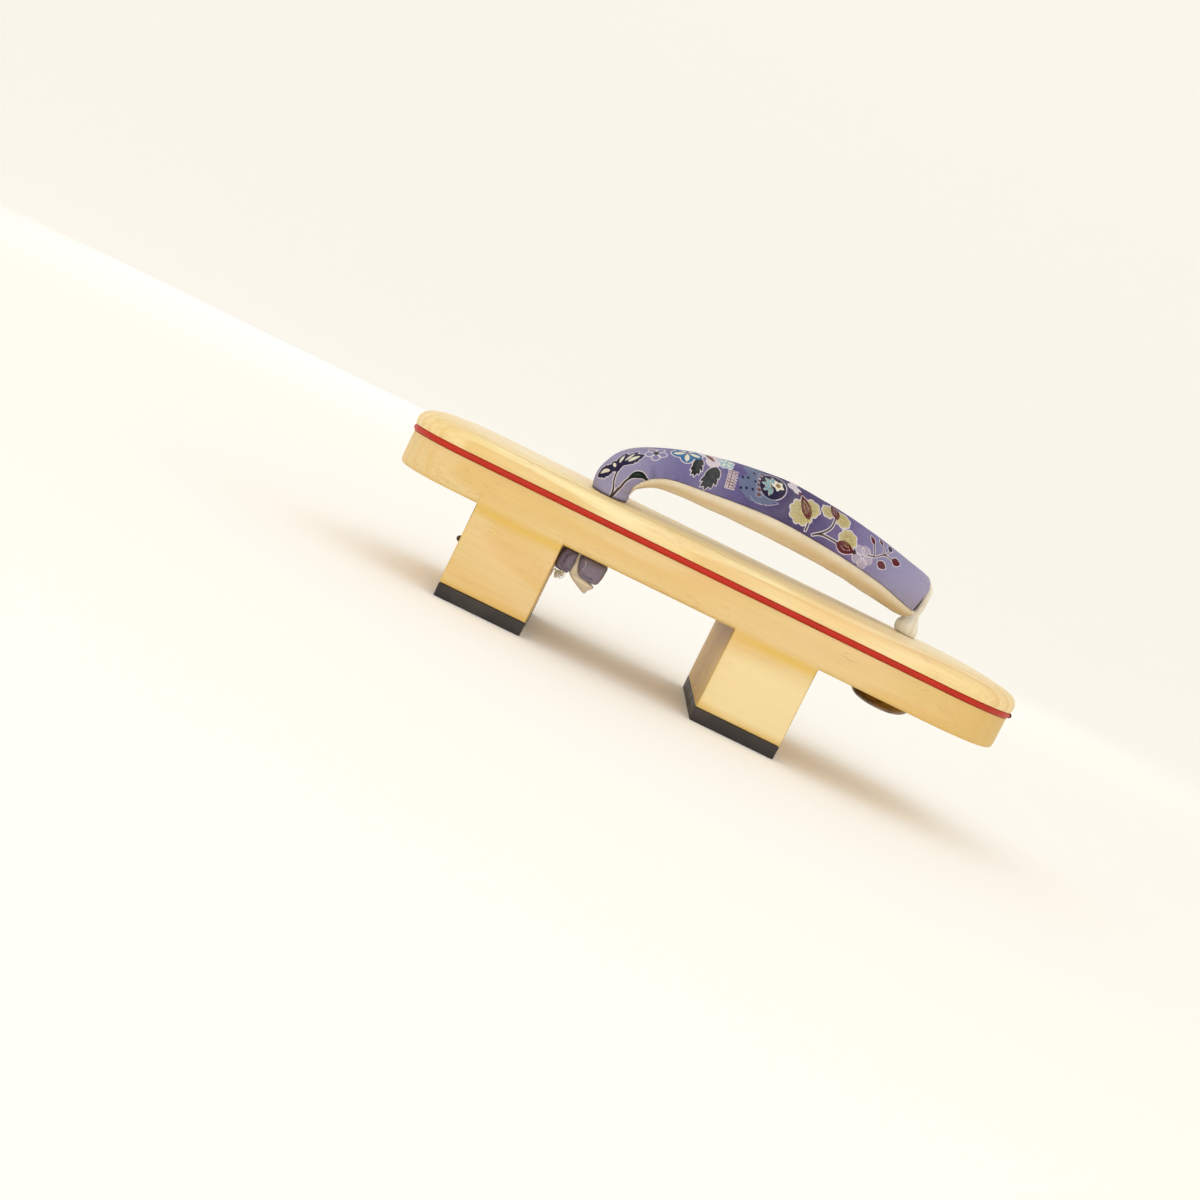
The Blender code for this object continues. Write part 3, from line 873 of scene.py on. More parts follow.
def make_body():
    """Make the footbed, its cord groove, the two teeth and the three strap holes."""
    levels = LOWER_WALL[:2] + smooth_rows(LOWER_WALL[1:], 3)[1:] + groove() + smooth_rows(UPPER_EDGE, 4)
    rings = [plan(inset, height) for inset, height in levels]
    rim = rings[-1]
    for share in (0.8, 0.6, 0.4, 0.2, 0.04):
        height = CROWN_MIDDLE + 0.1 * (1.0 - share)
        rings.append([(x * share, y * (0.55 + 0.45 * share), height) for x, y, _ in rim])
    body = loft("sandal_body", rings, WOOD)
    for toe_face, heel_face in TOOTH_SPANS.values():
        sides = []
        for added, height in smooth_rows(TOOTH_SIDE[:3], 2) + smooth_rows(TOOTH_SIDE[3:], 3):
            half = TOOTH_HALF_WIDTH + added
            sides.append(rounded_box(half, toe_face, heel_face, TOOTH_CORNER, height))
        boolean(body, "UNION", loft("tooth", sides, WOOD))
    rear_x, rear_y, rear_radius = REAR_HOLE
    for x, y, radius in (TOE_HOLE, REAR_HOLE, (-rear_x, rear_y, rear_radius)):
        rings = [level_circle(x, y, radius + added, height, 40) for added, height in HOLE_RIM]
        boolean(body, "DIFFERENCE", loft("hole", rings, WOOD))
    body.data.set_sharp_from_angle(angle=math.radians(32.0))
    weighted = body.modifiers.new("weighted", "WEIGHTED_NORMAL")
    weighted.keep_sharp = True
    dress(applied(body), "pale_wood", "body")


def make_rubber_tips():
    """Make the rubber under each tooth, eased along its edges, its short ends sloping in."""
    levels = [
        # (height, eased edge)
        (0.0, RUBBER_EASE),
        (RUBBER_EASE, 0.0),
        (RUBBER_THICKNESS - RUBBER_EASE, 0.0),
        (RUBBER_THICKNESS, RUBBER_EASE),
    ]
    for name, (toe_face, heel_face) in TOOTH_SPANS.items():
        rings = []
        for height, edge in levels:
            half = TOOTH_HALF_WIDTH - RUBBER_SLOPE * (1.0 - height / RUBBER_THICKNESS) - edge
            rings.append(rounded_box(half, toe_face + edge, heel_face - edge, RUBBER_CORNER, height))
        tip = loft("tip_" + name, rings, RUBBER)
        tip.data.set_sharp_from_angle(angle=math.radians(50.0))
        dress(tip, "black_rubber", "rubber_" + name)


def grown(name, seed_mesh, tree, values):
    """Run a Geometry Nodes tree on a seed mesh and return the plain mesh it makes."""
    made = bpy.data.objects.new(name, seed_mesh)
    bpy.context.scene.collection.objects.link(made)
    step = made.modifiers.new("grow", "NODES")
    step.node_group = tree
    for item in tree.interface.items_tree:
        if item.in_out == "INPUT" and item.name in values:
            step[item.identifier] = values[item.name]
    return applied(made)


def polyline(name, points, closed=False):
    """Return a mesh that is only a line of edges, from millimetre points."""
    mesh = bpy.data.meshes.new(name)
    edges = [(step, step + 1) for step in range(len(points) - 1)]
    if closed:
        edges.append((len(points) - 1, 0))
    mesh.from_pydata((np.asarray(points, float) * METRE).tolist(), edges, [])
    return mesh


def geometry_group(name, inputs):
    """Start a Geometry Nodes tree with named inputs, a radius and a material among them."""
    around = [("Geometry", "Geometry", None), ("Radius", "Float", 0.001), ("Material", "Material", None)]
    return node_group(name, "GeometryNodeTree", around + inputs, [("Geometry", "Geometry")])


def skinned(tree, entry, path, sides):
    """Return a round skin along a curve, as thick as the tree's radius."""
    feeds = {"Resolution": sides, "Radius": entry["Radius"]}
    circle = node(tree, "GeometryNodeCurvePrimitiveCircle", feeds).outputs[0]
    feeds = {"Curve": path, "Profile Curve": circle, "Fill Caps": True}
    return node(tree, "GeometryNodeCurveToMesh", feeds).outputs[0]


def end_tree(tree, entry, leave, shape):
    """End a tree by realizing its instances and setting its material."""
    plain = node(tree, "GeometryNodeRealizeInstances", {"Geometry": shape}).outputs[0]
    feeds = {"Geometry": plain, "Material": entry["Material"]}
    tree.links.new(node(tree, "GeometryNodeSetMaterial", feeds).outputs[0], leave["Geometry"])
    return tree


def make_cord_tree():
    """A round cord laid along a line of edges."""
    tree, entry, leave = geometry_group("laid_cord", [("Spacing", "Float", 0.001), ("Sides", "Int", 12)])
    path = node(tree, "GeometryNodeMeshToCurve", {"Mesh": entry["Geometry"]}).outputs[0]
    feeds = {"Curve": path, "Length": entry["Spacing"]}
    even = node(tree, "GeometryNodeResampleCurve", feeds, mode="LENGTH").outputs[0]
    skin = skinned(tree, entry, even, entry["Sides"])
    soft = node(tree, "GeometryNodeSetShadeSmooth", {"Geometry": skin}).outputs[0]
    return end_tree(tree, entry, leave, soft)


# The cord's end lies over its start: where the lap's free end is across the toe, how long it is, how far
# out and up its free end lies, how much thinner it is, and how long the burnt end is.
LAP_START, LAP_LENGTH = -18.6, 9.0
LAP_OUT, LAP_UP, LAP_THINNER = 0.75, 0.2, 0.86
BURNT_LENGTH = 0.3


def make_edge_cord():
    """Lay the red cord in its groove, with its burnt end lapped over it at the toe."""
    tree = make_cord_tree()
    values = {"Radius": CORD_RADIUS * METRE, "Spacing": 0.0012, "Sides": 14, "Material": RED_CORD}
    route = plan(CORD_INSET, CORD_HEIGHT)
    cord = grown("red_cord", polyline("cord_line", route, closed=True), tree, values)
    dress(cord, "red_cord", "edge_cord")
    lap = []
    for free, laid in zip(plan(CORD_INSET - LAP_OUT, CORD_HEIGHT + LAP_UP), route):
        share = (laid[0] - LAP_START) / LAP_LENGTH
        if laid[1] < 0.0 and 0.0 <= share <= 1.0:
            lap.append(np.array(free) * (1.0 - share) + np.array(laid) * share)
    lap.sort(key=lambda point: point[0])
    values["Radius"] = CORD_RADIUS * LAP_THINNER * METRE
    dress(grown("cord_lap", polyline("lap_line", lap), tree, values), "red_cord")
    onward = (lap[0] - lap[1]) / np.linalg.norm(lap[0] - lap[1]) * BURNT_LENGTH
    values.update({"Spacing": 0.0001, "Material": BURNT_CORD})
    dress(grown("cord_end", polyline("end_line", [lap[0], lap[0] + onward]), tree, values), "red_cord")


# Printed motifs --------------------------------------------------------------------------------
# A motif's place is (along the arm, round it from the top, outward positive), in millimetres.


def toward(place, reach, turn):
    """Return the point at a distance and an angle in degrees from a place."""
    angle = math.radians(turn)
    return place[0] + reach * math.cos(angle), place[1] + reach * math.sin(angle)


def between(start, tip, share):
    """Return the point at a share of the way from one point to another."""
    return start[0] + share * (tip[0] - start[0]), start[1] + share * (tip[1] - start[1])


def line_edge(along, round_, points, width):
    """Return the distance from a drawn line through some points."""
    best = np.full(along.shape, 99.0)
    for first, last in zip(points[:-1], points[1:]):
        run = np.array(last) - np.array(first)
        share = ((along - first[0]) * run[0] + (round_ - first[1]) * run[1]) / (run @ run + 1e-9)
        share = np.clip(share, 0.0, 1.0)
        gap = np.hypot(along - first[0] - share * run[0], round_ - first[1] - share * run[1])
        best = np.minimum(best, gap)
    return best - width / 2.0


class Print:
    """The printed motifs of one piece of cloth, as distances from each ink's edges."""

    def __init__(self, along, round_):
        """Start with no ink anywhere."""
        self.along = along
        self.round = round_
        self.inks = {name: np.full(along.shape, 9.0) for name in INKS}

    def put_on(self, thing):
        """Store each ink's distances on a piece, where its cloth's finish reads them."""
        for name, distance in self.inks.items():
            field = thing.data.attributes.new("ink_" + name, "FLOAT", "POINT")
            field.data.foreach_set("value", distance.astype(np.float32))

    def oval_edge(self, place, size, turn):
        """Return the distance from an oval's edge, less than 0 inside."""
        along, round_ = self.along - place[0], self.round - place[1]
        angle = math.radians(turn)
        a = along * math.cos(angle) + round_ * math.sin(angle)
        b = round_ * math.cos(angle) - along * math.sin(angle)
        reach = np.sqrt((a / size[0]) ** 2 + (b / size[1]) ** 2)
        slope = np.sqrt((a / size[0] ** 2) ** 2 + (b / size[1] ** 2) ** 2) + 1e-9
        return reach * (reach - 1.0) / slope

    def blade_edge(self, start, tip, width, teeth=0.0, bend=0.0):
        """Return the distance from a pointed leaf or petal that runs between two points."""
        run = math.hypot(tip[0] - start[0], tip[1] - start[1])
        ax, ay = (tip[0] - start[0]) / run, (tip[1] - start[1]) / run
        along, round_ = self.along - start[0], self.round - start[1]
        a = (along * ax + round_ * ay) / run
        b = round_ * ax - along * ay - bend * 4.0 * a * (1.0 - a)
        inside = np.clip(a, 0.0, 1.0)
        half = width / 2.0 * np.sin(math.pi * inside ** 0.85) ** 0.8
        if teeth:
            half = half * (0.86 + 0.28 * np.mod(-inside * teeth, 1.0))
        beyond = np.maximum(np.maximum(-a, a - 1.0) * run, 0.0)
        return np.hypot(np.maximum(np.abs(b) - half, 0.0), beyond) + np.minimum(np.abs(b) - half, 0.0)

    def lay(self, ink, distance, outline=0.0):
        """Add a shape to an ink, with a pale outline below it."""
        self.inks[ink] = np.minimum(self.inks[ink], distance)
        if outline:
            self.inks["pale"] = np.minimum(self.inks["pale"], distance - outline)

    def oval(self, ink, place, size, turn=0.0, outline=0.0):
        """Add an oval."""
        self.lay(ink, self.oval_edge(place, size, turn), outline)

    def ring(self, place, size, turn=0.0):
        """Add a pale outline of an oval."""
        self.lay("pale", np.abs(self.oval_edge(place, size, turn)) - 0.16)

    def blade(self, ink, start, tip, width, teeth=0.0, bend=0.0, outline=0.0):
        """Add a pointed leaf or petal."""
        self.lay(ink, self.blade_edge(start, tip, width, teeth, bend), outline)

    def line(self, ink, points, width, outline=0.0):
        """Add a drawn line, rounded through its points."""
        smooth = smooth_rows(points, 6) if len(points) > 2 else points
        self.lay(ink, line_edge(self.along, self.round, smooth, width), outline)

    def iris(self, foot, petals):
        """Add an iris: pointed navy petals with ivory hearts, each on a thin neck."""
        for length, turn, width in petals:
            tip = toward(foot, length, turn)
            root, near, far = (between(foot, tip, share) for share in (0.2, 0.36, 0.84))
            self.line("navy", [foot, root], 0.7, 0.26)
            self.blade("navy", root, tip, width, teeth=4.0, outline=0.26)
            self.blade("ivory", near, far, width * 0.34)

    def plum(self, place, radius, ink, heart, turn=90.0):
        """Add a five-petalled blossom with hearts in its petals and a gold middle."""
        for step in range(5):
            angle = turn + 72.0 * step
            spot = toward(place, radius * 0.56, angle)
            self.oval(ink, spot, (radius * 0.46, radius * 0.42), angle, 0.32)
            near, far = (toward(place, radius * reach, angle) for reach in (0.12, 0.9))
            self.blade(heart, far, near, radius * 0.32)
            self.line("stem", [place, toward(place, radius * 0.5, angle + 36.0)], radius * 0.05)
        self.oval("gold", place, (radius * 0.1, radius * 0.1))

    def fan(self, place, radius, scallops, turn=0.0):
        """Add a cream blossom with a scalloped edge and fine veins from its middle."""
        along, round_ = self.along - place[0], self.round - place[1]
        angle = np.arctan2(round_, along) - math.radians(turn)
        scalloped = radius * (0.84 + 0.16 * np.abs(np.cos(angle * scallops / 2.0)))
        self.lay("cream", np.hypot(along, round_) - scalloped, 0.38)
        for step in range(2 * scallops):
            ends = (0.3, 0.78) if step % 2 else (0.2, 0.92)
            angle = turn + 180.0 * (step + 0.5) / scallops
            self.line("gold", [toward(place, radius * reach, angle) for reach in ends], 0.2)

    def almond(self, start, tip, width):
        """Add a maroon bud, shaped like an almond, with a thin blush line inside."""
        self.blade("maroon", start, tip, width, outline=0.3)
        inner = self.blade_edge(between(start, tip, 0.26), between(start, tip, 0.78), width * 0.34)
        self.lay("blush", np.abs(inner) - 0.1)
        self.inks["maroon"] = np.maximum(self.inks["maroon"], 0.1 - np.abs(inner))

    def leaf(self, start, tip, width):
        """Add a dark leaf with pointed lobes and lighter veins."""
        start, run = np.array(start), np.array(tip) - np.array(start)
        side = np.array((-run[1], run[0])) / np.linalg.norm(run) * width
        self.blade("leaf", start, tip, width * 0.56, outline=0.25)
        for share, reach, drop in ((0.1, 0.5, 0.36), (0.36, 0.56, 0.36), (0.6, 0.36, 0.3)):
            for way in (-1.0, 1.0):
                root = start + run * (share - 0.08)
                point = start + run * (share + drop + 0.05 * way) + side * way * reach
                self.blade("leaf", root, point, width * 0.36, outline=0.25)
                self.line("olive", [root + run * 0.1, root + (point - root) * 0.7], 0.16)
        self.line("olive", [start + run * 0.12, start + run * 0.84], 0.22)

    def roundel(self, place, radius):
        """Add a navy roundel: drop petals round its one half and an ivory blossom in the other."""
        self.oval("navy", place, (radius, radius * 1.06), 0.0, 0.3)
        for step in range(5):
            near, far = (toward(place, radius * reach, 100.0 + 40.0 * step) for reach in (0.16, 0.88))
            drop = self.blade_edge(near, far, radius * 0.36)
            self.lay("ivory", np.abs(drop + 0.12) - 0.13)
            self.lay("sky", drop + 0.3)
        spot = (place[0] + 0.36 * radius, place[1] - 0.2 * radius)
        for step in range(5):
            self.blade("ivory", spot, toward(spot, radius * 0.5, 72.0 * step + 18.0), radius * 0.36)
        self.oval("gold", spot, (radius * 0.18, radius * 0.18))

    def lattice(self, low, high, step):
        """Add a small patch of rust lattice with pale edges."""
        for y in np.arange(low[1], high[1], step):
            self.line("rust", [(low[0], y), (high[0], y)], 0.3, 0.16)
        for x in np.arange(low[0], high[0], step):
            self.line("rust", [(x, low[1]), (x, high[1])], 0.3, 0.16)


def print_rear(page):
    """Print the iris, the bell blossoms, the plums and the leaves by the rear hole."""
    page.line("stem", [(-0.6, 10.6), (2.4, 11.3), (5.2, 11.2), (8.4, 10.2)], 0.58, 0.32)
    page.line("stem", [(-0.6, 10.9), (2.2, 12.8), (5.0, 14.4), (10.6, 15.0)], 0.72, 0.32)
    page.blade("leaf", (9.6, 14.9), (17.0, 18.0), 2.5, bend=-1.7, outline=0.3)
    page.blade("olive", (11.4, 14.5), (15.0, 15.8), 0.9, bend=-0.7)
    petals = [
        # (length, angle, width)
        (8.6, -131.0, 3.5),
        (4.4, -97.0, 2.2),
        (5.6, -62.0, 2.4),
        (7.8, -18.0, 3.5),
        (7.2, -36.0, 2.2),
    ]
    page.iris((8.3, 10.3), petals)
    for step in range(5):
        turn = 20.0 + 72.0 * step
        angle = math.radians(turn)
        page.ring((18.6 + 1.7 * math.cos(angle), 6.9 + 1.9 * math.sin(angle)), (1.35, 1.15), turn)
    page.oval("olive", (18.6, 6.9), (0.7, 1.0))
    page.plum((27.4, 5.0), 4.7, "blue", "ivory")
    page.leaf((31.4, 6.4), (30.6, 14.2), 3.3)
    page.leaf((37.2, 8.8), (35.0, 17.8), 4.8)
    for x, y, radius in ((33.4, 3.6, 2.0), (35.6, 7.2, 2.2), (37.4, 4.0, 2.2), (34.4, 1.6, 1.8)):
        page.oval("blush", (x, y), (radius, radius * 0.9), 30.0, 0.3)
    page.blade("rust", (33.2, 3.0), (36.2, 7.0), 1.6)
    page.plum((40.2, 5.6), 2.8, "sky", "ivory", turn=50.0)


def print_middle(page):
    """Print the misty clouds with their lattice and dots, the string of beads and the roundel."""
    page.oval("mist", (50.2, 5.4), (4.2, 3.4), 20.0)
    page.oval("mist", (49.4, 10.8), (4.4, 3.0), -10.0)
    page.blade("mist", (45.6, 12.6), (60.6, 14.4), 5.6, bend=1.0)
    page.line("pale", [(50.4, 15.4), (53.0, 16.9), (57.4, 16.5), (60.6, 14.6)], 0.3)
    page.lattice((41.5, 8.6), (44.5, 15.0), 1.06)
    dots = [(46.4, 9.8), (48.2, 9.3), (46.6, 13.7), (48.5, 13.2), (50.2, 6.4), (51.0, 9.8), (50.6, 13.0)]
    for dot in dots:
        page.oval("navy", dot, (0.5, 0.5))
    for step in range(6):
        bead = (52.3 + 0.35 * abs(step - 2.5), 5.6 + 1.7 * step)
        page.ring(bead, (1.2, 0.85))
        page.oval("rust", bead, (0.8, 0.45))
    page.roundel((57.2, 9.2), 4.7)
    for x, y, radius in ((63.6, 5.6, 1.3), (65.6, 6.6, 1.3), (64.4, 3.8, 1.2)):
        page.oval("blush", (x, y), (radius, radius * 0.9), 0.0, 0.28)
    page.oval("maroon", (66.9, 7.2), (0.8, 0.6))


def print_flower_spray(page):
    """Print the cream blossoms with their almond buds on long stems."""
    page.line("stem", [(73.0, 18.4), (72.8, 16.0), (72.2, 13.8)], 0.55, 0.3)
    page.line("stem", [(76.0, 18.4), (79.5, 15.2), (81.1, 12.2), (81.3, 8.6)], 0.6, 0.3)
    page.line("stem", [(76.4, 18.0), (79.4, 16.6), (85.4, 16.2)], 0.6, 0.3)
    page.fan((69.2, 13.4), 4.5, 9, 20.0)
    page.fan((72.1, 10.4), 3.2, 7, 50.0)
    page.fan((78.1, 7.8), 2.5, 7, 10.0)
    page.fan((84.0, 7.6), 3.1, 7, 30.0)
    page.fan((88.0, 13.4), 3.5, 8)
    page.almond((72.5, 14.6), (67.6, 7.6), 3.8)
    page.almond((82.0, 9.0), (79.2, 3.2), 3.5)
    page.almond((84.8, 16.4), (91.8, 16.0), 4.2)


def print_bud_twig(page):
    """Print a twig of small buds with a pale blossom at its foot."""
    petals = [(93.4, 14.0, 1.5), (93.6, 16.8, 1.7), (96.2, 17.4, 1.6), (97.4, 15.2, 1.6), (95.6, 13.2, 1.6)]
    for x, y, radius in petals:
        page.oval("blush", (x, y), (radius, radius * 0.86), 20.0)
        page.ring((x, y), (radius + 0.2, radius * 0.86 + 0.2), 20.0)
    page.oval("stem", (91.8, 15.8), (0.8, 0.7))
    page.line("stem", [(96.4, 13.9), (99.6, 12.7), (102.2, 10.2), (106.8, 9.9)], 0.44, 0.26)
    page.line("stem", [(98.8, 13.0), (98.2, 10.8), (97.0, 8.2)], 0.4, 0.24)
    page.line("stem", [(102.0, 10.6), (101.9, 8.6), (100.6, 6.4)], 0.4, 0.24)
    page.line("stem", [(102.2, 10.3), (103.8, 8.4), (104.2, 7.0)], 0.4, 0.24)
    page.oval("navy", (104.4, 6.0), (1.1, 1.3), 10.0, 0.3)
    page.blade("maroon", (97.5, 9.0), (95.8, 6.0), 1.7, outline=0.3)
    page.blade("maroon", (100.8, 7.0), (99.6, 4.6), 1.5, outline=0.3)
    page.blade("maroon", (106.0, 10.0), (109.8, 9.6), 3.0, outline=0.32)
    page.blade("maroon", (101.0, 13.7), (105.0, 14.1), 2.7, outline=0.32)


def print_inner_side(page):
    """Print the arm's inner side with plainer motifs of the same kind."""
    page.plum((11.5, -7.0), 3.2, "mist", "pale", turn=40.0)
    page.leaf((16.5, -4.6), (20.8, -9.6), 3.4)
    page.plum((29.5, -9.6), 3.8, "blue", "ivory", turn=20.0)
    page.leaf((34.6, -11.6), (41.4, -13.4), 3.8)
    page.line("gold", [(38.0, -4.0), (44.0, -7.4), (51.0, -7.0), (58.0, -9.8)], 0.6, 0.3)
    page.oval("mist", (50.6, -11.8), (6.0, 3.0), -8.0, 0.3)
    page.plum((49.0, -5.2), 3.0, "sky", "ivory", turn=30.0)
    page.plum((60.4, -11.0), 3.6, "navy", "ivory", turn=10.0)
    page.leaf((63.6, -4.0), (68.2, -8.8), 3.4)
    page.fan((77.0, -7.6), 3.8, 8, 30.0)
    page.almond((79.0, -4.4), (74.6, -9.6), 3.2)
    page.line("stem", [(78.6, -9.4), (84.0, -11.6), (91.0, -10.6)], 0.5, 0.3)
    page.blade("maroon", (84.2, -11.0), (85.4, -7.6), 1.9, outline=0.3)
    page.blade("maroon", (90.4, -10.7), (94.2, -9.8), 2.3, outline=0.3)


def print_top(page):
    """Print the arm's top, which ties the motifs of both sides together."""
    page.line("gold", [(10.0, -1.0), (14.6, 1.2), (18.4, 4.6)], 0.5, 0.25)
    page.leaf((22.0, -0.4), (25.0, -5.4), 3.0)
    page.line("pale", [(44.0, -3.8), (49.0, -1.0), (55.0, 0.4), (61.0, -1.6)], 0.9)
    page.plum((45.6, -0.6), 2.6, "blush", "ivory", turn=15.0)
    page.plum((69.0, -1.4), 3.0, "blush", "pale", turn=45.0)
    page.leaf((72.6, -0.6), (77.2, 2.4), 2.6)
    page.plum((88.6, -2.4), 2.4, "blush", "pale", turn=70.0)


PRINTED_PARTS = (print_rear, print_middle, print_flower_spray, print_bud_twig, print_inner_side, print_top)


# Strap -----------------------------------------------------------------------------------------

STATIONS = 430
COVER_SIDES = 122
LINING_SIDES = 30
NECK_HEIGHTS = (34.2, 45.0, 54.6)
NECK_EASE = 0.35
ARM_STARTS = 0.35
FOOT_SWELL = [
    # (share of the way out from the neck to the arm's first section, rise above the footbed)
    (0.0, 0.02),
    (0.5, 0.04),
    (0.8, 0.08),
    (0.875, 0.18),
    (0.915, 0.4),
]
CREASES = [
    # (place along the arm, depth, width, lean towards its underside)
    (18.0, 1.0, 0.8, 0.015),
    (15.2, 0.34, 0.7, -0.03),
    (21.4, 0.34, 0.9, 0.04),
    (3.4, 0.3, 0.6, 0.02),
]
FOLDS_FADE = (124.0, 127.5)
# Share of the lining's width over which its recess deepens at each seam.
RECESS_EDGE = 0.08
COVER_FLOOR = 56.35
LINING_FLOOR = 56.5
# On the cloth's map the neck's height is counted from the first of these and its foot's rise from the
# second, and the tip is a round patch that lies beyond the arm's print.
NECK_ON_CLOTH, FOOT_ON_CLOTH = 57.0, 0.8
TIP_PATCH_AWAY, TIP_PATCH_RADIUS = 9.0, 6.0
TIP_CENTRE = (-65.8, 70.2)
TIP_HALF_LENGTH = 5.4
TIP_HALF_HEIGHT = 7.0
TIP_SQUARENESS = 3.0
TIP_DOME = 0.9
TIP_EDGE = [
    # (y, z): how far the padding reaches at the tip, where the white loop folds over it
    (-67.6, 58.0),
    (-68.6, 61.0),
    (-69.7, 64.0),
    (-70.3, 66.9),
    (-71.0, 69.9),
    (-71.5, 71.6),
    (-72.0, 73.3),
    (-71.9, 74.8),
    (-71.3, 76.2),
    (-70.2, 77.7),
    (-68.2, 78.9),
    (-60.0, 82.0),
]
TIP_CROWD = 0.6
ARM_CLEARANCE = 0.06
# Beside the white loop the padding reaches less far by this slope, and it gives way this softly.
TIP_SLOPE, TIP_SOFTNESS = 0.19, 0.3
# Under the loop, padding between the first two levels of the tip's own shape is drawn in to the third.
DRAWN_FROM, DRAWN_UNTIL, DRAWN_TO = 1.0, 1.32, 0.985
LOOP_WIDTH = 7.2
LOOP_THICKNESS = 1.35
LOOP_FOLD = 1.15


def ease(value, low, high):
    """Return a value eased from 0 at low to 1 at high."""
    share = np.clip((value - low) / (high - low), 0.0, 1.0)
    return share * share * (3.0 - 2.0 * share)


ARM_PLACES = np.linspace(0.0, len(ARM) - 1.0, 1601)
ARM_POINTS = np.array([catmull(ARM, place)[:3] for place in ARM_PLACES])
ARM_RUN = np.concatenate([[0.0], np.cumsum(np.linalg.norm(np.diff(ARM_POINTS, axis=0), axis=1))])
ARM_LENGTH = ARM_RUN[-1]
# A ring's points, spread from 0 to 1 round the cover from seam to seam, then on to 2 across the lining.
LINING_SHARES = 1.0 + np.linspace(0.0, 1.0, LINING_SIDES + 1)[1:-1]
SPREAD = np.concatenate([np.linspace(0.0, 1.0, COVER_SIDES + 1), LINING_SHARES])
ON_COVER = SPREAD <= 1.0


def arm_place(along):
    """Return the place in the arm's table of a distance along it from its rear hole."""
    return float(np.interp(along, ARM_RUN, ARM_PLACES))


def lining_span(along):
    """Return the two angles between which the lining lies in an arm's section."""
    return catmull(ARM, arm_place(along))[6:]


def ring_angles(along):
    """Return an arm ring's angles: round the cover from seam to seam, then back across the lining."""
    line_from, line_to = lining_span(along)
    start = line_to - 360.0
    cover = start + (line_from - start) * np.minimum(SPREAD, 1.0)
    return cover + (line_to - line_from) * np.maximum(SPREAD - 1.0, 0.0)


def section(along, depths, angles, share=1.0, ahead=0.0):
    """Return points of an arm's section, sunk by given depths at given angles in degrees."""
    place = arm_place(along)
    x, y, z, tall, wide, lean = catmull(ARM, place)[:6]
    run = catmull(ARM, min(place + 0.02, len(ARM) - 1.0))[:3] - catmull(ARM, max(place - 0.02, 0.0))[:3]
    forward = run / np.linalg.norm(run) if place > 0.0 else np.array((0.0, 0.0, 1.0))
    outward = np.array((1.0, 0.0, 0.0)) - forward * forward[0]
    outward /= np.linalg.norm(outward)
    upward = np.cross(forward, outward)
    tilt = math.radians(lean)
    tall_axis = upward * math.cos(tilt) - outward * math.sin(tilt)
    wide_axis = upward * math.sin(tilt) + outward * math.cos(tilt)
    turn = np.radians(angles)[:, None]
    points = np.array((x, y, z)) + forward * ahead
    points = points + tall_axis * (tall * share - depths[:, None]) * np.cos(turn)
    return points + wide_axis * (wide * share - depths[:, None]) * np.sin(turn)


def round_lengths(points, angles):
    """Return how far each point of a section lies round it from its top."""
    steps = np.linalg.norm(np.diff(points, axis=0), axis=1)
    run = np.concatenate([[0.0], np.cumsum(steps)])
    return run - np.interp(0.0, angles, run)


def folds(along, angles):
    """Return how far the cover stands out or sinks: gathers by the seams, and creases at the bends."""
    line_from, line_to = lining_span(along)
    seams = (line_from, line_to - 360.0)
    near = sum(1.0 - ease(np.abs(angles - seam), 0.0, 26.0) for seam in seams)
    gather = math.sin(along * 2.9 + 1.3 * math.sin(along * 0.71)) + 0.6 * math.sin(along * 4.3 + 0.8)
    held = ease(along, 6.0, 16.0) * (1.0 - 0.55 * ease(along, 24.0, 40.0))
    out = 0.07 * gather * near * (0.35 + held)
    low = ease(angles, 55.0, 118.0) + ease(-angles, 70.0, 128.0)
    for place, depth, width, lean in CREASES:
        offset = along - place - lean * (np.abs(angles) - 110.0)
        out -= depth * low * np.exp(-((offset / width) ** 2))
        out += 0.3 * depth * low * np.exp(-(((offset - 1.9 * width) / width) ** 2))
    slack = math.sin(along * 0.31 + 0.6) * np.sin(np.radians(angles * 2.0 + 40.0))
    slack += math.sin(along * 0.173 + 2.1) * np.sin(np.radians(angles * 3.0 - 25.0))
    return out + 0.07 * slack


def drawn_in(points):
    """Draw the padding in below the white loop, and keep the two arms apart at the middle."""
    x, y, z = points.T
    reach, height = np.array(TIP_EDGE).T
    limit = np.interp(z, height, reach) + TIP_SLOPE * np.maximum(np.abs(x) - LOOP_WIDTH / 2.0, 0.0)
    beyond = (y - limit) / TIP_SOFTNESS
    held = limit + TIP_SOFTNESS * np.log1p(np.exp(np.clip(beyond, -30.0, 20.0)))
    y = np.where(beyond < 20.0, held, y)
    squared = np.abs((y - TIP_CENTRE[0]) / TIP_HALF_LENGTH) ** TIP_SQUARENESS
    squared = squared + np.abs((z - TIP_CENTRE[1]) / TIP_HALF_HEIGHT) ** TIP_SQUARENESS
    level = np.maximum(squared ** (1.0 / TIP_SQUARENESS), 1e-6)
    under_loop = 1.0 - ease(np.abs(x), LOOP_WIDTH / 2.0 - 0.2, LOOP_WIDTH / 2.0 + 1.5)
    in_reach = (level > DRAWN_FROM) * (level < DRAWN_UNTIL)
    pull = 1.0 + under_loop * in_reach * (DRAWN_TO / level - 1.0)
    y = TIP_CENTRE[0] + (y - TIP_CENTRE[0]) * pull
    z = TIP_CENTRE[1] + (z - TIP_CENTRE[1]) * pull
    crowded = ARM_CLEARANCE + (TIP_CROWD - ARM_CLEARANCE) * np.exp((x - TIP_CROWD) / TIP_CROWD)
    return np.stack([np.where(x < TIP_CROWD, crowded, x), y, z], axis=1)


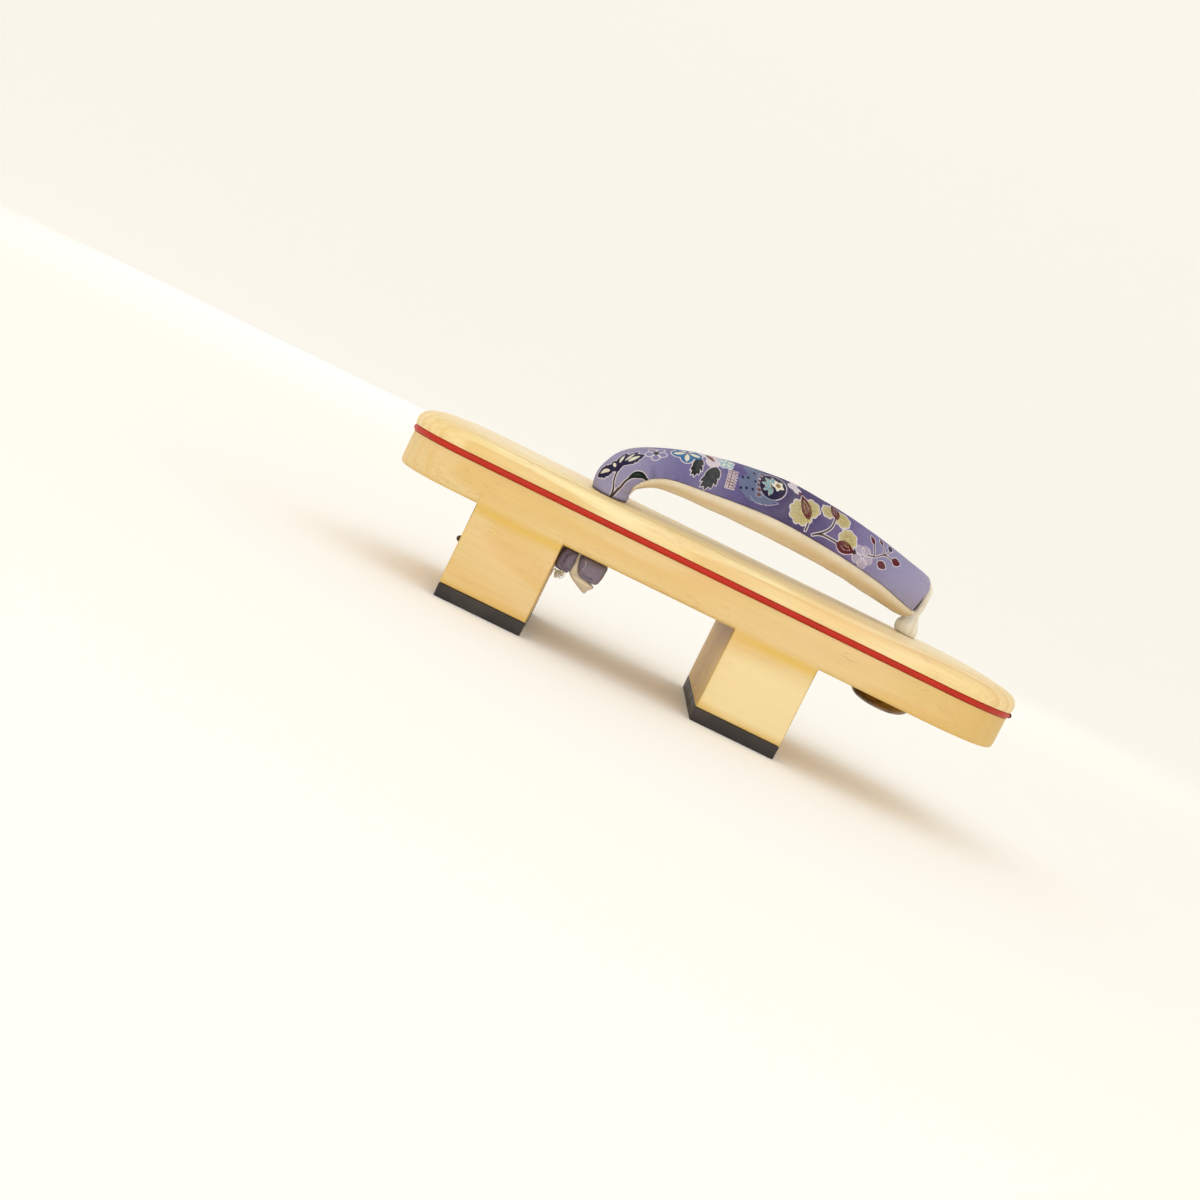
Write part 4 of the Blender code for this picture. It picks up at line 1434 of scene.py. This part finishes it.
def set_cloth_map(thing, values):
    """Give a piece its cloth map, in tenths of a metre, from each point's place on the cloth."""
    layer = thing.data.uv_layers.new(name="cloth")
    index = np.zeros(len(thing.data.loops), np.int32)
    thing.data.loops.foreach_get("vertex_index", index)
    layer.data.foreach_set("uv", (np.asarray(values)[index] * MAP_SCALE).astype(np.float32).ravel())


def cloth_ring(points, along, girth):
    """Return a ring as rows of x, y, z, then each point's place along and round on the cloth."""
    return np.column_stack([points, np.full(len(points), along), girth])


def neck_rings():
    """Return the arm's neck: up its rear hole, then out over the footbed to its first section."""
    angles = ring_angles(0.0)
    foot = section(0.0, np.zeros(len(angles)), angles)
    girth = round_lengths(foot, angles)
    level = np.array([top_height(x, y) for x, y, _ in foot])
    centre = np.array(REAR_HOLE[:2])
    distance = np.linalg.norm(foot[:, :2] - centre, axis=1)[:, None]
    unit = (foot[:, :2] - centre) / distance
    neck = REAR_HOLE[2] - NECK_EASE
    rings = []
    for height in NECK_HEIGHTS:
        points = np.column_stack([centre + unit * neck, np.full(len(angles), height)])
        rings.append(cloth_ring(points, height - NECK_ON_CLOTH, girth))
    for share, rise in FOOT_SWELL:
        points = np.column_stack([centre + unit * (neck + share * (distance - neck)), level + rise])
        rings.append(cloth_ring(points, rise - FOOT_ON_CLOTH, girth))
    return rings


def padded_rings():
    """Return the arm's padded length, with its folds and the recess that the lining lies in."""
    across = np.maximum(SPREAD - 1.0, 0.0)
    recess = RECESS * ease(across, 0.0, RECESS_EDGE) * ease(1.0 - across, 0.0, RECESS_EDGE) * ~ON_COVER
    rings = []
    for along in np.linspace(ARM_STARTS, ARM_LENGTH, STATIONS):
        angles = ring_angles(along)
        lined = ease(along, LINING_STARTS - 0.9, LINING_STARTS + 0.4)
        lined = lined * (1.0 - ease(along, LINING_ENDS, LINING_ENDS + 1.0))
        folded = folds(along, angles) * ON_COVER * (1.0 - ease(along, *FOLDS_FADE))
        points = section(along, recess * lined - folded, angles)
        points[:, 2] = np.maximum(points[:, 2], COVER_FLOOR)
        smooth = section(along, np.zeros(len(angles)), angles)
        rings.append(cloth_ring(points, along, round_lengths(smooth, angles)))
    return rings


def tip_rings():
    """Return the arm's rounded tip, closed with ever smaller rings."""
    angles = ring_angles(ARM_LENGTH)
    rings = []
    for step in range(1, 9):
        turn = math.pi / 2.0 * step / 8.0
        share = max(math.cos(turn), 0.02)
        points = section(ARM_LENGTH, np.zeros(len(angles)), angles, share, TIP_DOME * math.sin(turn))
        radius = TIP_PATCH_RADIUS * share
        along = ARM_LENGTH + TIP_PATCH_AWAY + radius * np.cos(np.radians(angles))
        rings.append(cloth_ring(points, along, radius * np.sin(np.radians(angles))))
    return rings


def make_arm(side, mirror):
    """Make one printed, padded arm, with its neck in the rear hole and its rounded tip."""
    rings = neck_rings() + padded_rings() + tip_rings()
    table = np.concatenate(rings)
    points = drawn_in(table[:, :3]) * (mirror, 1.0, 1.0)
    arm = piece("strap_" + side, points, ring_faces(len(rings), len(SPREAD)), PRINTED)
    set_cloth_map(arm, table[:, 3:])
    page = Print(table[:, 3], table[:, 4])
    for print_part in PRINTED_PARTS:
        print_part(page)
    page.put_on(arm)
    dress(arm, "violet_cloth", "strap")


def make_lining(side, mirror):
    """Make the soft lining that lies in the underside of one arm."""
    share = np.linspace(0.03, 0.97, 33)
    inside = np.linspace(0.93, 0.07, 25)
    edge = np.minimum(share, 1.0 - share)
    rings = []
    for along in np.linspace(LINING_STARTS, LINING_ENDS, 260):
        line_from, line_to = lining_span(along)
        sweep = line_to - line_from
        end = 1.0 - ease(min(along - LINING_STARTS, LINING_ENDS - along), 0.0, 1.2)
        wave = 0.08 * math.sin(along * 0.43) * np.sin(share * 9.0 + along * 0.05)
        ruffle = 0.048 * math.sin(along * 2.7 + 1.1 * math.sin(along * 0.9))
        wave += ruffle * (1.0 - ease(edge, 0.03, 0.16))
        outer = 0.34 - 0.3 * ease(edge, 0.03, 0.12) + 0.42 * ease(edge, 0.14, 0.4) + wave + 0.4 * end
        inner = np.full(len(inside), LINING_THICKNESS + 0.5)
        across = sweep * np.concatenate([share, inside])
        ring = section(along, np.concatenate([outer, inner]), line_from + across)
        ring[:, 2] = np.maximum(ring[:, 2], LINING_FLOOR)
        ring[:, 0] = np.maximum(ring[:, 0], 0.1) * mirror
        rings.append(cloth_ring(ring, along, across * 0.15))
    table = np.concatenate(rings)
    faces = ring_faces(len(rings), len(rings[0]))
    lining = piece("lining_cloth_" + side, table[:, :3], faces, CREAM)
    set_cloth_map(lining, table[:, 3:])
    dress(lining, "cream_cloth", "lining_" + side)


# White loop, strap ends, brass and tack --------------------------------------------------------

SEAT_GAP = 0.3
LOOP_STEPS = 150
LOOP_SIDES = 28
LOOP_MEAN_RADIUS = 6.4
# Angles round the tip in degrees: where the loop is narrower, by how much and over how wide an angle,
# and between which angles its fold swells and ends.
NARROW_AT, NARROWER, NARROW_SPAN = 235.0, 0.4, 40.0
FOLD_SWELLS, FOLD_ENDS = (132.0, 172.0), (222.0, 262.0)
STEM = [
    # (centre y, z, half width, half length)
    (-72.2, 33.2, 3.2, 3.2),
    (-72.2, 45.0, 3.2, 3.2),
    (-72.2, 55.4, 3.3, 3.3),
    (-71.7, 56.3, 4.3, 3.8),
    (-71.5, 57.4, 4.9, 4.25),
    (-71.3, 58.8, 5.0, 4.3),
    (-71.15, 60.2, 4.7, 3.95),
    (-71.25, 61.4, 4.1, 3.2),
    (-71.4, 62.4, 3.6, 2.7),
    (-71.5, 63.4, 3.3, 2.3),
    (-71.6, 64.6, 2.8, 1.8),
]
BULB_PINCHES = [
    # (angle round the bulb, width in degrees, depth)
    (200.0, 6.0, 1.15),
    (300.0, 9.0, 0.5),
    (340.0, 8.0, 0.7),
    (60.0, 9.0, 0.3),
]
BULB_STARTS = (55.6, 57.0)
# The pinches lean round the bulb by so many degrees for each millimetre above this height.
PINCH_LEAN, PINCH_HEIGHT = 2.2, 58.0
ROLLS = {
    # name: (centre y, half size along Y, half height, squareness, taper and drift of its lower half,
    # place on the cloth)
    "rear": (47.5, 3.0, 4.15, 4.2, -0.04, 0.35, 25.0),
    "front": (38.75, 5.25, 4.05, 2.7, 0.2, -0.7, 17.0),
}
ROLL_HALF_LENGTH = 6.8
ROLL_STOPS = 73
ROLL_SIDES = 96
ROLL_TOP_SQUARENESS = 6.0
ROLL_CREASE_WIDTH = 8.0
ROLL_CREASES = [
    # (angle round the roll, how much further round it is at the outer end, depth)
    (250.0, 14.0, 0.26),
    (24.0, 10.0, 0.3),
]
ROLL_SEAM = [(42.9, 33.0), (41.9, 32.5), (41.1, 31.6), (40.9, 30.5), (41.3, 29.4), (41.9, 28.7)]
# Painted shade: a dark gold line, as (y, z), where the lining's fold lies in shadow at a roll's end.
ROLL_SHADED_FOLD = [(43.7, 32.8), (43.4, 30.5), (42.9, 28.4)]
ROLL_FOLDS = [
    # lines (y, z) on a roll's end where its cloth is tucked in
    [(40.8, 27.8), (39.2, 27.3), (37.2, 27.5)],
    [(43.4, 31.6), (42.6, 30.0), (42.5, 28.4)],
    [(45.6, 27.2), (47.2, 26.8), (48.6, 27.5)],
    [(47.4, 32.6), (48.4, 30.8), (48.2, 28.9)],
]
TAIL = [
    # (centre y, z, half size along Y, half width across): it spreads out below the front roll
    (44.3, 33.8, 0.7, 3.6),
    (44.3, 32.0, 0.75, 3.8),
    (44.1, 30.2, 0.95, 4.0),
    (43.7, 28.4, 1.45, 4.2),
    (43.0, 26.9, 2.3, 4.5),
    (40.9, 25.7, 4.0, 5.6),
    (39.6, 24.8, 4.3, 5.9),
    (39.0, 23.7, 3.0, 4.6),
    (38.3, 22.7, 1.7, 2.8),
    (37.6, 21.7, 0.5, 0.9),
]
# Where the threads hang from, as (x, y), and how high.
FRAYED_FROM, FRAYED_TO = (32.8, 49.8), (31.2, 46.4)
FRAYED_HEIGHT = 25.7
BRASS_PLACE = (0.0, -74.2)
BRASS_TOP = UNDERSIDE - SEAT_GAP
BRASS_RADIUS = 11.5
BRASS_DEPTH = 5.6
BRASS_THICKNESS = 0.7
BRASS_RIM = 0.15
TACK_PLACE = (-31.0, TOOTH_SPANS["heel"][1] + 0.25, 20.3)
TACK_RADIUS = 1.1
TACK_DOME = [
    # (share of the radius, how far out)
    (1.0, 0.0),
    (1.02, 0.25),
    (0.96, 0.6),
    (0.8, 0.95),
    (0.5, 1.25),
    (0.15, 1.4),
]


def rounded_power(turn, squareness):
    """Return a point of a unit curve between a circle (2) and a square (large), at an angle."""
    power = 2.0 / squareness
    return tuple(math.copysign(abs(part) ** power, part) for part in (math.cos(turn), math.sin(turn)))


def make_front_loop():
    """Make the white loop round the tip, folded over where it turns in below."""
    rings = []
    flat = []
    for turn in turns(LOOP_STEPS):
        degrees = math.degrees(turn)
        across, up = rounded_power(turn, TIP_SQUARENESS)
        half = LOOP_WIDTH / 2.0 - NARROWER * math.exp(-(((degrees - NARROW_AT) / NARROW_SPAN) ** 2))
        fold = LOOP_FOLD * float(ease(degrees, *FOLD_SWELLS) * (1.0 - ease(degrees, *FOLD_ENDS)))
        ring = []
        for corner in turns(LOOP_SIDES):
            side, out = rounded_power(corner, 3.6)
            grow = (LOOP_THICKNESS + fold) / 2.0 * (1.0 + out) + 0.1
            if out > 0.0:
                crown = 0.22 * (1.0 - side * side)
                pleat = 0.05 * math.sin(9.0 * side + 2.0 * math.sin(3.0 * turn))
                grow += crown + pleat
            y = TIP_CENTRE[0] + across * (TIP_HALF_LENGTH + grow)
            z = TIP_CENTRE[1] + up * (TIP_HALF_HEIGHT + grow)
            ring.append((half * side + 0.12 * math.sin(2.0 * turn), y, z))
            flat.append((side * half, turn * LOOP_MEAN_RADIUS))
        rings.append(ring)
    loop = loft("white_loop", rings, WHITE, joined_ends=True)
    set_cloth_map(loop, flat)
    dress(loop, "white_cloth", "front_loop")


def make_loop_bulb():
    """Make the gathered bulb below the white loop, and its stem in the toe hole."""
    rings = []
    flat = []
    for y, z, half_x, half_y in smooth_rows(STEM, 6):
        bulk = float(ease(z, *BULB_STARTS))
        ring = []
        for turn in turns(144):
            degrees = math.degrees(turn)
            pinch = 0.025 * math.sin(11.0 * turn + 0.7 * z)
            for place, width, depth in BULB_PINCHES:
                gap = (degrees - place - (z - PINCH_HEIGHT) * PINCH_LEAN + 180.0) % 360.0 - 180.0
                pinch += depth * math.exp(-((gap / width) ** 2))
            x = (half_x - bulk * pinch) * math.cos(turn)
            ring.append((x, y + (half_y - bulk * pinch) * math.sin(turn), z))
            flat.append((degrees * 0.09, z))
        rings.append(ring)
    bulb = loft("loop_bulb", rings, WHITE)
    set_cloth_map(bulb, flat)
    dress(bulb, "white_cloth")


def roll_shape(name):
    """Return a roll's points, creased along its length, and each one's place on the cloth."""
    centre_y, half_long, half_height, squareness, taper, drift, _ = ROLLS[name]
    centre_z = UNDERSIDE - SEAT_GAP - half_height
    points = []
    flat = []
    for index in range(ROLL_STOPS):
        along = math.sin(math.pi / 2.0 * (2.0 * index / (ROLL_STOPS - 1) - 1.0))
        share = min(max((1.0 - abs(along) ** 5.0) ** (1.0 / 2.6), 0.02), 1.0)
        for turn in turns(ROLL_SIDES):
            below = math.sin(turn) < 0.0
            across, up = rounded_power(turn, squareness if below else ROLL_TOP_SQUARENESS)
            degrees = math.degrees(turn)
            low = 0.5 - 0.5 * up
            out = 0.14 * math.sin(3.0 * turn + 2.4 * along)
            out += 0.09 * math.sin(7.0 * turn - 3.0 * along + centre_y)
            for angle, further, depth in ROLL_CREASES:
                gap = degrees - angle - further * along
                out -= depth * math.exp(-((gap / ROLL_CREASE_WIDTH) ** 2))
            scale_y = half_long * (1.0 - taper * low) + min(out, 0.0 if abs(across) > 0.9 else 9.0)
            scale_z = half_height + min(out, 0.0 if up > 0.7 else 9.0)
            y = centre_y + drift * low + across * share * max(scale_y, 0.05)
            z = centre_z + up * share * max(scale_z, 0.05)
            points.append((REAR_HOLE[0] + along * ROLL_HALF_LENGTH, y, z))
            flat.append((along * ROLL_HALF_LENGTH, turn * 4.0))
    return np.array(points), np.array(flat)


def make_roll(name, side, mirror):
    """Make one roll of strap cloth below a rear hole, with a seam and tucks at its ends."""
    points, flat = roll_shape(name)
    x, y, z = points.T
    end = np.sign(x - REAR_HOLE[0]) * ease(np.abs(x - REAR_HOLE[0]), 5.0, 6.4)
    tuck = np.min([line_edge(y, z, smooth_rows(line, 6), 0.0) for line in ROLL_FOLDS], axis=0)
    piping = line_edge(y, z, smooth_rows(ROLL_SEAM, 6), 0.0)
    sink = np.exp(-((tuck / 0.42) ** 2)) - 0.16 * np.exp(-((piping / 0.3) ** 2))
    points = np.column_stack([(x - end * sink) * mirror, y, z])
    # The rolls take the violet cloth with painted shade.
    roll = piece("strap_roll_" + name + "_" + side, points, ring_faces(ROLL_STOPS, ROLL_SIDES), PAINTED_SHADE_VIOLET)
    set_cloth_map(roll, flat + (ROLLS[name][-1], 0.0))
    page = Print(*flat.T)
    page.oval("mist", (1.5, 5.5), (3.5, 1.8), 20.0, 0.3)
    page.line("leaf", [(-5.0, 15.0), (0.0, 17.0), (4.0, 14.0)], 0.8, 0.3)
    off_the_end = 9.0 * (np.abs(end) < 0.9)
    page.inks["pale"] = piping - 0.13 + off_the_end
    # Painted shade: the lining's fold in shadow, drawn as a dark gold line.
    page.inks["gold"] = line_edge(y, z, ROLL_SHADED_FOLD, 1.1) + off_the_end
    page.put_on(roll)
    dress(roll, "violet_cloth", "roll_" + name + "_" + side)


def make_tail(side, mirror):
    """Make the folded tail of lining that hangs between the two rolls."""
    rings = []
    flat = []
    for y, z, half_long, half_wide in smooth_rows(TAIL, 6):
        ring = []
        for turn in turns(48):
            across, along = rounded_power(turn, 3.4)
            ripple = 0.16 * math.sin(2.6 * across + 0.9 * z) * float(ease(33.0 - z, 0.0, 3.0))
            drop = 0.25 * across * float(ease(27.0 - z, 0.0, 2.0))
            x = mirror * (REAR_HOLE[0] + across * half_wide)
            ring.append((x, y + along * half_long + ripple, z + drop))
            flat.append((across * half_wide, z))
        rings.append(ring)
    tail = loft("lining_tail_" + side, rings, CREAM)
    set_cloth_map(tail, flat)
    dress(tail, "cream_cloth", "tail_" + side)


def make_fray_tree():
    """Loose threads that hang from points along a line, each bent and of its own length."""
    inputs = [
        ("Count", "Int", 12),
        ("Length", "Float", 0.0025),
        ("Spread", "Float", 0.9),
        ("Seed", "Int", 3),
    ]
    tree, entry, leave = geometry_group("frayed_threads", inputs)
    path = node(tree, "GeometryNodeMeshToCurve", {"Mesh": entry["Geometry"]}).outputs[0]
    spots = node(tree, "GeometryNodeCurveToPoints", {"Curve": path, "Count": entry["Count"]}).outputs[0]
    drop = node(tree, "ShaderNodeCombineXYZ", {2: times(tree, entry["Length"], -1.0)}).outputs[0]
    feeds = {0: times(tree, entry["Length"], 0.3), 2: times(tree, entry["Length"], -0.55)}
    bend = node(tree, "ShaderNodeCombineXYZ", feeds).outputs[0]
    feeds = {"Resolution": 6, "Start": (0.0, 0.0, 0.0), "Middle": bend, "End": drop}
    strand = node(tree, "GeometryNodeCurveQuadraticBezier", feeds).outputs[0]
    low, high = (
        node(tree, "ShaderNodeVectorMath", {0: most, "Scale": entry["Spread"]}, operation="SCALE").outputs[0]
        for most in ((-0.5, -0.5, -3.1), (0.5, 0.5, 3.1))
    )
    drawn = {"ID": node(tree, "GeometryNodeInputIndex").outputs[0], "Seed": entry["Seed"]}
    feeds = {0: low, 1: high, **drawn}
    turn = node(tree, "FunctionNodeRandomValue", feeds, data_type="FLOAT_VECTOR").outputs[0]
    feeds = {2: 0.5, 3: 1.15, **drawn}
    size = node(tree, "FunctionNodeRandomValue", feeds, data_type="FLOAT").outputs[1]
    feeds = {"Points": spots, "Instance": strand, "Rotation": turn, "Scale": size}
    hung = node(tree, "GeometryNodeInstanceOnPoints", feeds).outputs[0]
    real = node(tree, "GeometryNodeRealizeInstances", {"Geometry": hung}).outputs[0]
    return end_tree(tree, entry, leave, skinned(tree, entry, real, 5))


def make_loose_threads(fray_tree, side, mirror):
    """Hang the frayed threads below the rear roll's outer end."""
    hem = []
    for step in range(7):
        x, y = between(FRAYED_FROM, FRAYED_TO, step / 6.0)
        hem.append((mirror * x, y, FRAYED_HEIGHT - 0.25 * math.sin(step)))
    values = {
        "Count": 34,
        "Length": 0.003,
        "Radius": 0.0001,
        "Spread": 0.9,
        "Seed": 5,
        "Material": THREAD,
    }
    threads = grown("loose_threads_" + side, polyline("hem", hem), fray_tree, values)
    threads.data.name = threads.name
    dress(threads, "cream_cloth")


def make_toe_cover():
    """Make the pressed brass cover over the loop's end, thin, rolled in at its rim."""
    walls = []
    for inset in (0.0, BRASS_THICKNESS):
        wall = []
        for step in range(19):
            across, down = rounded_power(math.pi / 2.0 * step / 18.0, 2.5)
            radius = max((BRASS_RADIUS - inset) * across, 0.25)
            wall.append((radius, BRASS_TOP - (BRASS_DEPTH - inset) * down))
        walls.append(wall)
    outside, inside = walls
    outside[0] = (outside[0][0] - BRASS_RIM, outside[0][1])
    rings = [level_circle(*BRASS_PLACE, radius, height, 72) for radius, height in outside[::-1] + inside]
    dress(loft("brass_cover", rings, BRASS), "old_brass", "toe_cover")


def make_heel_tack():
    """Make the tack's low domed head in the back of the heel tooth."""
    x, y, z = TACK_PLACE
    rings = []
    for share, out in TACK_DOME:
        circle = level_circle(x, z, TACK_RADIUS * share, y + out, 28)
        rings.append([(across, away, height) for across, height, away in circle])
    dress(loft("tack_head", rings, STEEL), "dark_steel", "heel_tack")


make_camera()
make_stage()
make_lights()
make_body()
make_rubber_tips()
make_edge_cord()
FRAYS = make_fray_tree()
for side_name, side_sign in (("left", 1.0), ("right", -1.0)):
    make_arm(side_name, side_sign)
    make_lining(side_name, side_sign)
    for roll_name in ROLLS:
        make_roll(roll_name, side_name, side_sign)
    make_tail(side_name, side_sign)
    make_loose_threads(FRAYS, side_name, side_sign)
make_front_loop()
make_loop_bulb()
make_toe_cover()
make_heel_tack()
